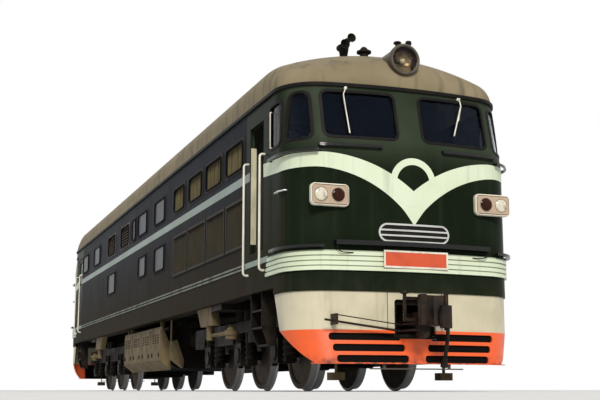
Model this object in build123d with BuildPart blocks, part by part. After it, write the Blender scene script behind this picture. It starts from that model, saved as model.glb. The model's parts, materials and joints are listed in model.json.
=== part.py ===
from build123d import *
import math
import os

# Mainline diesel-electric locomotive with a streamlined cab at each end and two three-axle bogies.
# +X is the way the front cab faces, +Y is its left side, +Z is up.
# The origin is under the middle of the locomotive, level with the lowest point of the wheel flanges.
# Lengths are millimetres, angles are degrees.

# Main sizes of the locomotive
COUPLED_LENGTH = 21100
BODY_WIDTH = 3250
FLANGE_DEPTH = 28
BOGIE_CENTRES = 12000
AXLE_STEP = 1800
WHEEL_D = 1050
WHEELS_BACK_TO_BACK = 1353
WHEEL_WIDTH = 135
COUPLER_HEIGHT = 880

# Clearances: a piece lies SEAT away from what carries it, and a moving piece keeps RUNNING from others
SEAT = 0.3
RUNNING = 9

# Body shell
WALL = 70
SILL_Z = 1340
NOSE_BOTTOM_Z = 1250
WAIST_Z = 3050
SCREEN_TOP_Z = 3955
EAVES_Z = 4015
SPLIT_X = 7800
NOSE_X = 9940
RAKE = 212
BOW_R = 7200
CORNER_R = 600
APRON_X = 9030

# Roof: a barrel along the body that ends in a ball-shaped dome over each cab
ROOF_R = 4000
CROWN_Z = 4775
DOME_X = 8330
BALL_R = 2400
BALL_SHARE = 0.8
SHOULDER_R = 350
ROOF_WALL = 60
COOLING_X = 3200
HATCH_GAP = 10
HATCHES = 3
GUTTER_OUT = 29.5
GUTTER_H = 45

# Floor and underframe
DECK_Z = 1750
DECK_T = 60
SIDE_SILL = 200
CENTRE_SILL_IN = 350
CENTRE_SILL_T = 150
FRAME_BOTTOM_Z = 1250
BOLSTER_LENGTH = 600
PIVOT_R = 140
PIVOT_BOTTOM_Z = 860

# Openings of one cab, measured over the outside of their rubber or metal frames
SCREEN_IN, SCREEN_OUT = 160, 1215
SCREEN_LOW, SCREEN_HIGH = 3238, 3932
QUARTER_X, QUARTER_Y = 9370, 1306
QUARTER_LOW, QUARTER_HIGH = 3213, 3912
SLIDER_X0, SLIDER_X1 = 8830, 9310
SLIDER_LOW, SLIDER_HIGH = 3200, 3845
GLASS_CORNER_R = 115
RUBBER = 38
RUBBER_PROUD = 8
GLASS_DEPTH = 22
GLASS_T = 10

# Cab doors
DOOR_X0, DOOR_X1 = 7970, 8590
DOOR_LOW, DOOR_HIGH = 1900, 3720
DOOR_T = 45
DOOR_SET = 12
DOOR_OPEN = 90
HINGES_Z = [2150, 2800, 3450]
HINGE_R, HINGE_PIN_R, HINGE_H = 14, 8, 60
DOOR_AXIS_X = DOOR_X1 - 15
DOOR_FACE_Y = BODY_WIDTH / 2 - DOOR_SET
DOOR_AXIS_Y = DOOR_FACE_Y - DOOR_T - HINGE_R

# Side wall openings: name, first x, last x, lowest z, highest z
SIDE_WINDOWS = [
    ("rear a", -7780, -6800, 3190, 3720),
    ("rear b", -5880, -4900, 3190, 3720),
    ("middle narrow", -710, -290, 3190, 3720),
    ("middle", -50, 880, 3190, 3720),
    ("front", 1600, 2540, 3190, 3720),
    ("lower front", 1640, 2570, 2250, 2790),
    ("lower middle", 60, 850, 2300, 2800),
    ("lower rear", -3640, -2620, 2250, 2800),
]
SIDE_LOUVRES = [
    ("engine room front", -2010, -1070, 3190, 3720),
    ("engine room rear", -3690, -2770, 3190, 3720),
]
SIDE_SHUTTERS = [
    ("upper 1", 3270, 4090, 3190, 3690),
    ("upper 2", 4400, 5320, 3190, 3690),
    ("upper 3", 5540, 6510, 3190, 3690),
    ("upper 4", 6740, 7680, 3190, 3690),
    ("lower 1", 3270, 4290, 2050, 2790),
    ("lower 2", 4350, 5530, 2050, 2790),
    ("lower 3", 5590, 6670, 2050, 2790),
    ("lower 4", 6730, 7680, 2050, 2790),
]
FRAME_WIDTH = 40
FRAME_PROUD = 10
SLAT_PITCH = 75
SLAT_T = 8
LOUVRE_PITCH = 66

# Half the body: the plan outline of one cab end, from SPLIT_X forward
HALF_WIDTH = BODY_WIDTH / 2
RAIL_Z = FLANGE_DEPTH
AXLE_Z = RAIL_Z + WHEEL_D / 2
COUPLER_Z = RAIL_Z + COUPLER_HEIGHT
BOGIE_X = BOGIE_CENTRES / 2
COUPLER_X = COUPLED_LENGTH / 2
ROOF_AXIS_Z = CROWN_Z - ROOF_R
INNER_Y = HALF_WIDTH - WALL
OVERLAP = 500

FROM_BASE = (Align.CENTER, Align.CENTER, Align.MIN)

os.makedirs("parts", exist_ok=True)
pieces = {}


def block(x0, x1, y0, y1, z0, z1, mode=Mode.ADD):
    """One rectangular block of the open part, between two values on each axis."""
    with Locations(((x0 + x1) / 2, (y0 + y1) / 2, (z0 + z1) / 2)):
        Box(abs(x1 - x0), abs(y1 - y0), abs(z1 - z0), mode=mode)


def both_ends(shape):
    """Adds a shape of the front end to the open part, and its copy at the rear end."""
    add(shape)
    add(shape.rotate(Axis.Z, 180))


def all_corners(shape):
    """Adds a shape of the front end's left side to the open part, and its copies on both sides of both ends."""
    both_ends(shape)
    both_ends(mirror(shape, about=Plane.XZ, mode=Mode.PRIVATE))


def both_sides(shape):
    """Adds a shape of the left side to the open part, and its mirror image on the right side."""
    add(shape)
    add(mirror(shape, about=Plane.XZ, mode=Mode.PRIVATE))


def cab_outline(inset, nose, z):
    """Plan outline of a cab end: straight sides, round corners and a slightly bowed front."""
    half = HALF_WIDTH - inset
    bow = BOW_R - inset
    tip = nose - inset
    side_end = tip - bow + math.sqrt(bow**2 - half**2)
    back = SPLIT_X - OVERLAP
    with BuildSketch(Plane.XY.offset(z)) as outline:
        with BuildLine():
            Polyline((side_end, half), (back, half), (back, -half), (side_end, -half))
            ThreePointArc((side_end, -half), (tip, 0), (side_end, half))
        make_face()
        fillet(outline.vertices().group_by(Axis.X)[-1], CORNER_R - inset)
    return outline.sketch


def cab_volume(inset, back=SPLIT_X):
    """Solid block of a cab up to the eaves: upright to the waist, then raked back to the top of the glass."""
    rise = SCREEN_TOP_Z - WAIST_Z
    with BuildPart() as volume:
        extrude(cab_outline(inset, NOSE_X, NOSE_BOTTOM_Z), amount=WAIST_Z - NOSE_BOTTOM_Z)
        extrude(cab_outline(inset, NOSE_X, WAIST_Z), amount=math.hypot(RAKE, rise), dir=(-RAKE, 0, rise))
        extrude(cab_outline(inset, NOSE_X - RAKE, SCREEN_TOP_Z), amount=EAVES_Z - SCREEN_TOP_Z)
        split(bisect_by=Plane.YZ.offset(back), keep=Keep.TOP)
    return volume.part


def dome_volume(inset, back=SPLIT_X, low=EAVES_Z):
    """Solid block of a cab's roof: the plan outline cut by the barrel and its ball end, with round shoulders."""
    top = CROWN_Z - inset
    ball = BALL_R - inset
    start = SPLIT_X - 2 * OVERLAP
    reach = BALL_SHARE * ball
    tip = (DOME_X + reach, top - ball + math.sqrt(ball**2 - reach**2))
    with BuildPart() as barrel:
        with BuildSketch(Plane.XZ):
            with BuildLine():
                Polyline(tip, (tip[0], ROOF_AXIS_Z), (start, ROOF_AXIS_Z), (start, top), (DOME_X, top))
                RadiusArc((DOME_X, top), tip, ball)
            make_face()
        revolve(axis=Axis((0, 0, ROOF_AXIS_Z), (1, 0, 0)))
    with BuildPart() as volume:
        extrude(cab_outline(inset, NOSE_X - RAKE, low), amount=ROOF_R)
        add(barrel.part, mode=Mode.INTERSECT)
        rim = []
        for edge in volume.edges():
            box = edge.bounding_box()
            rises = box.size.Z > 100 and box.size.X < 1 and box.size.Y < 1
            if box.min.Z > low + 1 and not rises and edge.center().X > SPLIT_X - OVERLAP + 1:
                if box.max.Z < CROWN_Z - 1:
                    rim.append(edge)
        fillet(rim, SHOULDER_R - inset)
        split(bisect_by=Plane.YZ.offset(back), keep=Keep.TOP)
    return volume.part


def roof_arch(inset, x0, x1):
    """Solid block of the straight roof between two x values, with the same section as the cab roofs."""
    half = HALF_WIDTH - inset
    radius = ROOF_R - inset
    with BuildPart() as arch:
        with BuildSketch(Plane.YZ.offset(x0)) as section:
            with Locations((0, ROOF_AXIS_Z)):
                Circle(radius)
            with Locations((0, EAVES_Z + ROOF_R)):
                Rectangle(2 * half, 2 * ROOF_R, mode=Mode.INTERSECT)
            fillet(section.vertices().group_by(Axis.Y)[-1], SHOULDER_R - inset)
        extrude(amount=x1 - x0)
    return arch.part


def front_prism(y0, y1, z0, z1, radius, x0=9000, x1=10300):
    """A bar with round corners along X, which cuts an opening in the nose."""
    with BuildPart() as prism:
        with BuildSketch(Plane.YZ.offset(x0)):
            with Locations(((y0 + y1) / 2, (z0 + z1) / 2)):
                RectangleRounded(abs(y1 - y0), z1 - z0, radius)
        extrude(amount=x1 - x0)
    return prism.part


def side_prism(x0, x1, z0, z1, radius, y0=1300, y1=1900):
    """A bar with round corners along Y, which cuts an opening in the left side."""
    with BuildPart() as prism:
        with BuildSketch(Plane.XZ.offset(-y1)):
            with Locations(((x0 + x1) / 2, (z0 + z1) / 2)):
                RectangleRounded(x1 - x0, z1 - z0, radius)
        extrude(amount=y1 - y0)
    return prism.part


def cab_window_prisms(shrink):
    """The window openings of the left half of a cab, each made smaller by one amount all round."""
    s = shrink
    corner = GLASS_CORNER_R - s
    screen = front_prism(SCREEN_IN + s, SCREEN_OUT - s, SCREEN_LOW + s, SCREEN_HIGH - s, corner)
    slider = side_prism(SLIDER_X0 + s, SLIDER_X1 - s, SLIDER_LOW + s, SLIDER_HIGH - s, corner)
    past = 10400
    from_side = side_prism(QUARTER_X + s, past, QUARTER_LOW + s, QUARTER_HIGH - s, corner, y0=900)
    from_front = front_prism(QUARTER_Y + s, 2200, QUARTER_LOW + s, QUARTER_HIGH - s, corner)
    return [screen, slider, from_side & from_front]


def keep(name, part):
    """Stores one finished piece under its plain name."""
    pieces[name] = part


# Shared solids of the front cab, used by every piece that sits in or on it
cab_outer = cab_volume(0)
cab_seat = cab_volume(-SEAT)
cab_inner = cab_volume(WALL)
dome_outer = dome_volume(0)
dome_inner = dome_volume(ROOF_WALL)

# Cab shells: a hollow nose with its windows and doorways cut, no floor and no roof
with BuildPart() as cab_shell:
    add(cab_outer)
    add(cab_inner, mode=Mode.SUBTRACT)
    block(SPLIT_X, SPLIT_X + WALL, -INNER_Y, INNER_Y, NOSE_BOTTOM_Z, EAVES_Z, mode=Mode.SUBTRACT)
    block(SPLIT_X, APRON_X, -HALF_WIDTH, HALF_WIDTH, NOSE_BOTTOM_Z, SILL_Z, mode=Mode.SUBTRACT)
    block(DOOR_X0, DOOR_X1, -HALF_WIDTH, HALF_WIDTH, DOOR_LOW, DOOR_HIGH, mode=Mode.SUBTRACT)
    for opening in cab_window_prisms(0):
        add(opening, mode=Mode.SUBTRACT)
        add(mirror(opening, about=Plane.XZ, mode=Mode.PRIVATE), mode=Mode.SUBTRACT)
    for side in (-1, 1):
        for z in HINGES_Z:
            with Locations((DOOR_AXIS_X, side * DOOR_AXIS_Y, z)):
                Cylinder(HINGE_PIN_R, HINGE_H + 20)
            for ear in (-1, 1):
                low = z + ear * (HINGE_H / 2 + 6)
                x0, x1 = DOOR_AXIS_X - HINGE_PIN_R, DOOR_X1 + 40
                y0, y1 = side * (DOOR_AXIS_Y - HINGE_R), side * (DOOR_AXIS_Y + HINGE_PIN_R)
                block(x0, x1, y0, y1, low - 5, low + 5)
keep("cab_shell_front", cab_shell)
with BuildPart() as cab_shell_rear:
    add(cab_shell.part.rotate(Axis.Z, 180))
keep("cab_shell_rear", cab_shell_rear)

# Cab glass and its rubber frames: windscreens, corner windows and sliding side windows
with BuildPart() as cab_rubbers:
    rubber_layer = cab_volume(-RUBBER_PROUD) - cab_volume(WALL / 2)
    for outer, inner in zip(cab_window_prisms(0), cab_window_prisms(RUBBER)):
        all_corners((outer - inner) & rubber_layer)
keep("window_rubbers", cab_rubbers)

# Side walls, with their windows, louvres and radiator openings cut
STRIP_LOW, STRIP_HIGH, STRIP_PROUD = 1710, 1790, 12
with BuildPart() as side_wall:
    block(-SPLIT_X, SPLIT_X, INNER_Y, HALF_WIDTH, SILL_Z, EAVES_Z)
    strip = STRIP_HIGH - STRIP_LOW
    for low in (STRIP_LOW, STRIP_HIGH - 0.35 * strip):
        block(-SPLIT_X, SPLIT_X, HALF_WIDTH, HALF_WIDTH + STRIP_PROUD, low, low + 0.35 * strip)
    for name, x0, x1, z0, z1 in SIDE_WINDOWS + SIDE_LOUVRES + SIDE_SHUTTERS:
        block(x0, x1, INNER_Y, HALF_WIDTH, z0, z1, mode=Mode.SUBTRACT)
keep("side_wall_left", side_wall)
with BuildPart() as side_wall_right:
    add(mirror(side_wall.part, about=Plane.XZ, mode=Mode.PRIVATE))
keep("side_wall_right", side_wall_right)


def window_frame(x0, x1, z0, z1, width, proud, depth):
    """A flat frame of the left side that fills the edge of its opening and stands proud outside."""
    with BuildPart() as frame:
        with BuildSketch(Plane.XZ.offset(-HALF_WIDTH - proud)):
            with Locations(((x0 + x1) / 2, (z0 + z1) / 2)):
                Rectangle(x1 - x0, z1 - z0)
                Rectangle(x1 - x0 - 2 * width, z1 - z0 - 2 * width, mode=Mode.SUBTRACT)
        extrude(amount=proud + depth)
    return frame.part


with BuildPart() as body_frames:
    for name, x0, x1, z0, z1 in SIDE_WINDOWS:
        both_sides(window_frame(x0, x1, z0, z1, FRAME_WIDTH, FRAME_PROUD, WALL))
keep("body_window_frames", body_frames)
with BuildPart() as window_panes:
    glass_layer = cab_volume(GLASS_DEPTH) - cab_volume(GLASS_DEPTH + GLASS_T)
    for opening in cab_window_prisms(RUBBER + SEAT):
        all_corners(opening & glass_layer)
    edge = FRAME_WIDTH + SEAT
    for name, x0, x1, z0, z1 in SIDE_WINDOWS:
        with BuildPart(mode=Mode.PRIVATE) as pane:
            glass_y = HALF_WIDTH - GLASS_DEPTH
            block(x0 + edge, x1 - edge, glass_y - GLASS_T, glass_y, z0 + edge, z1 - edge)
        both_sides(pane.part)
keep("window_panes", window_panes)

# Louvres: sloping slats across a frame, in the engine room's air intakes
with BuildPart() as louvres:
    for name, x0, x1, z0, z1 in SIDE_LOUVRES:
        with BuildPart(mode=Mode.PRIVATE) as panel:
            add(window_frame(x0, x1, z0, z1, FRAME_WIDTH, FRAME_PROUD, WALL))
            height = z1 - z0 - 2 * FRAME_WIDTH
            count = round(height / LOUVRE_PITCH)
            with BuildSketch(Plane.YZ.offset(x0 + FRAME_WIDTH)):
                with Locations((HALF_WIDTH - WALL / 2, (z0 + z1) / 2)):
                    with GridLocations(1, height / count, 1, count):
                        Rectangle(SLAT_T, LOUVRE_PITCH * 1.1, rotation=40)
            extrude(amount=x1 - x0 - 2 * FRAME_WIDTH)
        both_sides(panel.part)
keep("wall_louvres", louvres)

# Radiator shutters: upright blades in two rows of frames
with BuildPart() as shutters:
    for name, x0, x1, z0, z1 in SIDE_SHUTTERS:
        with BuildPart(mode=Mode.PRIVATE) as panel:
            add(window_frame(x0, x1, z0, z1, FRAME_WIDTH, FRAME_PROUD, WALL))
            span = x1 - x0 - 2 * FRAME_WIDTH
            count = round(span / SLAT_PITCH)
            with BuildSketch(Plane.XY.offset(z0 + FRAME_WIDTH)):
                with Locations(((x0 + x1) / 2, HALF_WIDTH - 0.45 * WALL)):
                    with GridLocations(span / count, 1, count, 1):
                        Rectangle(SLAT_T, 0.72 * SLAT_PITCH, rotation=38)
            extrude(amount=z1 - z0 - 2 * FRAME_WIDTH)
        both_sides(panel.part)
keep("radiator_shutters", shutters)

# Roof: a dome over each cab, the engine room's hatches and the cooling room's roof with two fan wells
with BuildPart() as cab_roofs:
    with BuildPart(mode=Mode.PRIVATE) as dome:
        add(dome_outer)
        add(dome_inner, mode=Mode.SUBTRACT)
    both_ends(dome.part)
keep("cab_roofs", cab_roofs)

FANS = [("front", 6500), ("rear", 4400)]
FAN_WELL_R = 760
FAN_RING_T = 30
FAN_TIP_GAP = 15
FAN_HUB_R = 170
FAN_SHAFT_R = 40
FAN_Z0, FAN_Z1 = CROWN_Z - 260, CROWN_Z - 140
FAN_BLADES = 8
FAN_GUARD_BARS = 9
MOTOR_R = 190
MOTOR_Z0 = CROWN_Z - 620
ARM_Z0, ARM_Z1 = CROWN_Z - 400, CROWN_Z - 340
WELL_Z0, WELL_Z1 = CROWN_Z - 420, CROWN_Z + 25


def roof_section(x0, x1):
    """A hollow length of the straight roof."""
    with BuildPart() as section:
        add(roof_arch(0, x0, x1))
        add(roof_arch(ROOF_WALL, x0, x1), mode=Mode.SUBTRACT)
    return section.part


with BuildPart() as body_roofs:
    add(roof_section(COOLING_X, SPLIT_X))
    for name, x in FANS:
        with Locations((x, 0, CROWN_Z)):
            Cylinder(FAN_WELL_R, 1200, mode=Mode.SUBTRACT)
    room = (COOLING_X + SPLIT_X) / HATCHES
    for i in range(HATCHES):
        start = -SPLIT_X + i * room
        add(roof_section(start, start + room - HATCH_GAP))
keep("body_roofs", body_roofs)

# Fan wells: a ring in the roof with a guard of bars over it, and three arms that carry the fan's motor
with BuildPart() as fan_wells:
    for name, x in FANS:
        with BuildPart(mode=Mode.PRIVATE) as well:
            with BuildSketch(Plane.XY.offset(WELL_Z0)):
                with Locations((x, 0)):
                    Circle(FAN_WELL_R - SEAT)
                    Circle(FAN_WELL_R - FAN_RING_T, mode=Mode.SUBTRACT)
            extrude(amount=WELL_Z1 - WELL_Z0)
            with BuildSketch(Plane.XY.offset(ARM_Z0)):
                with Locations((x, 0)):
                    with PolarLocations(FAN_WELL_R / 2, 3):
                        Rectangle(FAN_WELL_R - FAN_RING_T, 60)
            extrude(amount=ARM_Z1 - ARM_Z0)
            with Locations((x, 0, MOTOR_Z0)):
                Cylinder(MOTOR_R, ARM_Z1 - MOTOR_Z0, align=FROM_BASE)
                Cylinder(FAN_SHAFT_R, FAN_Z0 + 60 - MOTOR_Z0, align=FROM_BASE)
            for i in range(FAN_GUARD_BARS):
                reach = FAN_WELL_R - FAN_RING_T / 2
                y = (2 * (i + 1) / (FAN_GUARD_BARS + 1) - 1) * reach
                half_bar = math.sqrt(reach**2 - y**2)
                block(x - half_bar, x + half_bar, y - 8, y + 8, WELL_Z1 - 30, WELL_Z1)
        add(well.part)
keep("fan_wells", fan_wells)


def cooling_fan(x):
    """An axial fan of flat pitched blades round a hub that sits on the motor's shaft."""
    with BuildPart() as fan:
        with Locations((x, 0, FAN_Z0)):
            Cylinder(FAN_HUB_R, FAN_Z1 - FAN_Z0, align=FROM_BASE)
            Cylinder(FAN_SHAFT_R + SEAT, 60 + SEAT, align=FROM_BASE, mode=Mode.SUBTRACT)
        tip = FAN_WELL_R - FAN_RING_T - FAN_TIP_GAP
        root = FAN_HUB_R - 20
        for i in range(FAN_BLADES):
            turn = 360 / FAN_BLADES * i
            plane = Plane(origin=(x, 0, (FAN_Z0 + FAN_Z1) / 2)).rotated((0, 0, turn))
            with BuildSketch(Plane(plane.origin + plane.x_dir * root, x_dir=plane.y_dir, z_dir=plane.x_dir)):
                Rectangle(210, 12, rotation=28)
            extrude(amount=tip - root - 12)
    return fan


for name, x in FANS:
    keep(f"cooling_fan_{name}", cooling_fan(x))

# Rain gutter: a black rubber-edged ring all round the eaves
with BuildPart() as gutter:
    with BuildSketch(Plane.XY.offset(EAVES_Z + 8 - GUTTER_H)):
        add(cab_outline(-GUTTER_OUT, NOSE_X - RAKE, 0))
        add(cab_outline(-GUTTER_OUT, NOSE_X - RAKE, 0).rotate(Axis.Z, 180))
        Rectangle(2 * SPLIT_X, BODY_WIDTH + 2 * GUTTER_OUT)
    extrude(amount=GUTTER_H)
    with BuildSketch(Plane.XY.offset(EAVES_Z + 8 - GUTTER_H)):
        add(cab_outline(0, NOSE_X - RAKE, 0))
        add(cab_outline(0, NOSE_X - RAKE, 0).rotate(Axis.Z, 180))
        Rectangle(2 * SPLIT_X, BODY_WIDTH)
    extrude(amount=GUTTER_H, mode=Mode.SUBTRACT)
keep("rain_gutter", gutter)

# Bulkheads behind each cab and between the cooling room and the engine room
BULKHEAD_T = 40
BULKHEADS = [("front cab", 7735), ("rear cab", -7775), ("cooling room", COOLING_X - 45)]
with BuildPart() as bulkheads:
    for name, x in BULKHEADS:
        with BuildPart(mode=Mode.PRIVATE) as wall:
            add(roof_arch(ROOF_WALL + WALL / 4, x, x + BULKHEAD_T))
            side = INNER_Y - SEAT
            block(x, x + BULKHEAD_T, -side, side, DECK_Z + SEAT, EAVES_Z)
        add(wall.part)
keep("bulkheads", bulkheads)

# Underframe: deck, side sills, centre sills, bolsters with the bogie pivots, cross beams and end beams
BEAMS = [-3300, -1900, 1900, 3300]
END_BEAM_BACK_X, END_BEAM_X = 9000, 9300
END_BEAM_Z = FRAME_BOTTOM_Z + 20
PIVOT_FLANGE_T = 30
POCKET_HALF = 230
POCKET_T = 40
POCKET_X0, POCKET_X1 = 8950, 9840
POCKET_Z0, POCKET_Z1 = COUPLER_Z - 190, COUPLER_Z + 190
with BuildPart() as underframe:
    extrude(cab_outline(WALL + SEAT, NOSE_X, DECK_Z - DECK_T), amount=DECK_T)
    extrude(cab_outline(WALL + SEAT, NOSE_X, DECK_Z - DECK_T).rotate(Axis.Z, 180), amount=DECK_T)
    side = INNER_Y - SEAT
    block(-SPLIT_X, SPLIT_X, -side, side, DECK_Z - DECK_T, DECK_Z)
    for y in (-1, 1):
        block(-9000, 9000, y * (side - SIDE_SILL), y * side, SILL_Z, DECK_Z - DECK_T)
        y0, y1 = CENTRE_SILL_IN, CENTRE_SILL_IN + CENTRE_SILL_T
        block(-END_BEAM_X, END_BEAM_X, y * y0, y * y1, FRAME_BOTTOM_Z, DECK_Z - DECK_T)
    for x in BEAMS:
        block(x - 80, x + 80, -side, side, SILL_Z, DECK_Z - DECK_T)
    for end in (-1, 1):
        x = end * BOGIE_X
        half = BOLSTER_LENGTH / 2
        block(x - half, x + half, -side, side, FRAME_BOTTOM_Z, DECK_Z - DECK_T)
        block(end * END_BEAM_BACK_X, end * END_BEAM_X, -1200, 1200, END_BEAM_Z, DECK_Z - DECK_T)
keep("underframe", underframe)

# Castings under the frame: the bogie pivots with their flanges, and the draft pockets that hold the couplers
with BuildPart() as frame_castings:
    for end in (-1, 1):
        with BuildPart(mode=Mode.PRIVATE) as pivot:
            with Locations((end * BOGIE_X, 0, PIVOT_BOTTOM_Z)):
                Cylinder(PIVOT_R, FRAME_BOTTOM_Z - SEAT - PIVOT_BOTTOM_Z, align=FROM_BASE)
            with Locations((end * BOGIE_X, 0, FRAME_BOTTOM_Z - SEAT - PIVOT_FLANGE_T)):
                Cylinder(PIVOT_R + 70, PIVOT_FLANGE_T, align=FROM_BASE)
        add(pivot.part)
        with BuildPart(mode=Mode.PRIVATE) as pocket:
            x0, x1 = end * POCKET_X0, end * POCKET_X1
            outer = POCKET_HALF + POCKET_T
            block(x0, x1, -outer, outer, POCKET_Z0 - POCKET_T, END_BEAM_Z - SEAT)
            block(x0 + end * POCKET_T, x1, -POCKET_HALF, POCKET_HALF, POCKET_Z0, POCKET_Z1, mode=Mode.SUBTRACT)
        add(pocket.part)
keep("frame_castings", frame_castings)

# Aprons under the noses: upright at the top, then sloping in to a narrow foot, with slots cut right through
APRON_INSET = 20
APRON_T = 30
APRON_KNEE_Z = 765
APRON_FOOT_Z = 340
APRON_FOOT_IN = 143
APRON_FOOT_OUT = 50
APRON_SLOTS = [("top", 680, 1162, 210), ("middle", 542, 1115, 161), ("bottom", 404, 1069, 115)]
SLOT_H = 92
APRON_GAP = 20
FLANGE_OUT, FLANGE_T = 45, 10
GUARD_HALF, GUARD_Z, GUARD_X = 650, 280, 9960


def apron_skirt(inset, past):
    """Solid block of an apron's lower part, which slopes in and forward, run on by a length past both ends."""
    share = past / (APRON_KNEE_Z - APRON_FOOT_Z)
    lean = APRON_FOOT_IN + APRON_FOOT_OUT
    with BuildPart() as volume:
        for z, part_way in ((APRON_KNEE_Z + past, -share), (APRON_FOOT_Z - past, 1 + share)):
            with BuildSketch(Plane.XY.offset(z)):
                add(cab_outline(inset + part_way * APRON_FOOT_IN, NOSE_X + part_way * lean, 0))
        loft(ruled=True)
    return volume.part


with BuildPart() as apron_front_solid:
    extrude(cab_outline(APRON_INSET - SEAT, NOSE_X, APRON_KNEE_Z), amount=NOSE_BOTTOM_Z - APRON_KNEE_Z)
apron_front_volume = apron_front_solid.part
with BuildPart() as aprons:
    with BuildPart(mode=Mode.PRIVATE) as apron:
        upright = NOSE_BOTTOM_Z - SEAT - APRON_KNEE_Z
        add(apron_skirt(APRON_INSET, 0))
        add(apron_skirt(APRON_INSET + APRON_T, 20), mode=Mode.SUBTRACT)
        extrude(cab_outline(APRON_INSET, NOSE_X, APRON_KNEE_Z), amount=upright)
        extrude(cab_outline(APRON_INSET + APRON_T, NOSE_X, APRON_KNEE_Z), amount=upright, mode=Mode.SUBTRACT)
        foot_in, foot_tip = APRON_INSET + APRON_FOOT_IN, NOSE_X + APRON_FOOT_IN + APRON_FOOT_OUT
        extrude(cab_outline(foot_in - FLANGE_OUT, foot_tip, APRON_FOOT_Z), amount=FLANGE_T)
        extrude(cab_outline(foot_in + APRON_T - 2, foot_tip, APRON_FOOT_Z), amount=FLANGE_T, mode=Mode.SUBTRACT)
        block(GUARD_X - 25, GUARD_X, -GUARD_HALF, GUARD_HALF, GUARD_Z - 8, GUARD_Z + 8)
        for y in (-0.7 * GUARD_HALF, 0.7 * GUARD_HALF):
            block(GUARD_X - 25, GUARD_X - 10, y - 20, y + 20, GUARD_Z, APRON_FOOT_Z + FLANGE_T / 2)
        with BuildSketch(Plane.XZ.offset(-HALF_WIDTH)):
            with BuildLine():
                Polyline(
                    (APRON_X, NOSE_BOTTOM_Z + 50),
                    (APRON_X, NOSE_BOTTOM_Z - 20),
                    (APRON_X + 210, APRON_KNEE_Z),
                    (APRON_X + 770, APRON_FOOT_Z - 10),
                    (6000, APRON_FOOT_Z - 10),
                    (6000, NOSE_BOTTOM_Z + 50),
                    close=True,
                )
            make_face()
        extrude(amount=BODY_WIDTH, mode=Mode.SUBTRACT)
        for name, z, y1, y0 in APRON_SLOTS:
            slot = front_prism(y0, y1, z - SLOT_H / 2, z + SLOT_H / 2, 0.42 * SLOT_H)
            add(slot, mode=Mode.SUBTRACT)
            add(mirror(slot, about=Plane.XZ, mode=Mode.PRIVATE), mode=Mode.SUBTRACT)
        gap = POCKET_HALF + POCKET_T + APRON_GAP
        low, high = POCKET_Z0 - POCKET_T - APRON_GAP, POCKET_Z1 + 60
        add(front_prism(-gap, gap, low, high, 40), mode=Mode.SUBTRACT)
    both_ends(apron.part)
keep("aprons", aprons)

# Ribbed band round each nose, which ends in a step before the doors
BAND_Z0, BAND_Z1 = 1510, 1765
BAND_RIBS = 4
BAND_PROUD = 30
BAND_BASE = 14
BAND_END_X = 8760
with BuildPart() as nose_bands:
    with BuildPart(mode=Mode.PRIVATE) as band:
        pitch = (BAND_Z1 - BAND_Z0) / BAND_RIBS
        extrude(cab_outline(-BAND_BASE, NOSE_X, BAND_Z0), amount=BAND_Z1 - BAND_Z0)
        for i in range(BAND_RIBS):
            extrude(cab_outline(-BAND_PROUD, NOSE_X, BAND_Z0 + i * pitch), amount=0.68 * pitch)
        extrude(cab_outline(-SEAT, NOSE_X, BAND_Z0), amount=BAND_Z1 - BAND_Z0, mode=Mode.SUBTRACT)
        with BuildSketch(Plane.XZ.offset(-2 * HALF_WIDTH)):
            with BuildLine():
                Polyline(
                    (BAND_END_X + 90, BAND_Z1 + 10),
                    (BAND_END_X, BAND_Z0 - 10),
                    (6000, BAND_Z0 - 10),
                    (6000, BAND_Z1 + 10),
                    close=True,
                )
            make_face()
        extrude(amount=2 * BODY_WIDTH, mode=Mode.SUBTRACT)
    both_ends(band.part)
keep("nose_bands", nose_bands)

# Marker lamps: two twin lamps on each nose, each a tray with two lenses on a base seated on the curved front
LAMP_Y0, LAMP_Y1 = 910, 1435
LAMP_Z0, LAMP_Z1 = 2315, 2605
LAMP_FACE_X = 9950
LAMP_TRAY_T, LAMP_BASE_IN = 62, 22
LAMP_R = 76
LENS_T = 20
LENSES = [("red inner", LAMP_Y0 + 156), ("clear outer", LAMP_Y1 - 137)]
LAMP_Z = (LAMP_Z0 + LAMP_Z1) / 2
with BuildPart() as lamp:
    tray_x = LAMP_FACE_X - LAMP_TRAY_T
    add(front_prism(LAMP_Y0, LAMP_Y1, LAMP_Z0, LAMP_Z1, 60, x0=tray_x, x1=LAMP_FACE_X))
    fillet(lamp.faces().sort_by(Axis.X)[-1].edges(), 22)
    y0, y1 = LAMP_Y0 + LAMP_BASE_IN, LAMP_Y1 - 2 * LAMP_BASE_IN
    z0, z1 = LAMP_Z0 + LAMP_BASE_IN, LAMP_Z1 - LAMP_BASE_IN
    add(front_prism(y0, y1, z0, z1, 45, x0=9400, x1=tray_x + 1))
    add(cab_seat, mode=Mode.SUBTRACT)
    for name, y in LENSES:
        with BuildSketch(Plane.YZ.offset(LAMP_FACE_X)):
            with Locations((y, LAMP_Z)):
                Circle(LAMP_R)
        extrude(amount=-40, mode=Mode.SUBTRACT)
with BuildPart() as marker_lamps:
    all_corners(lamp.part)
keep("marker_lamps", marker_lamps)

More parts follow.
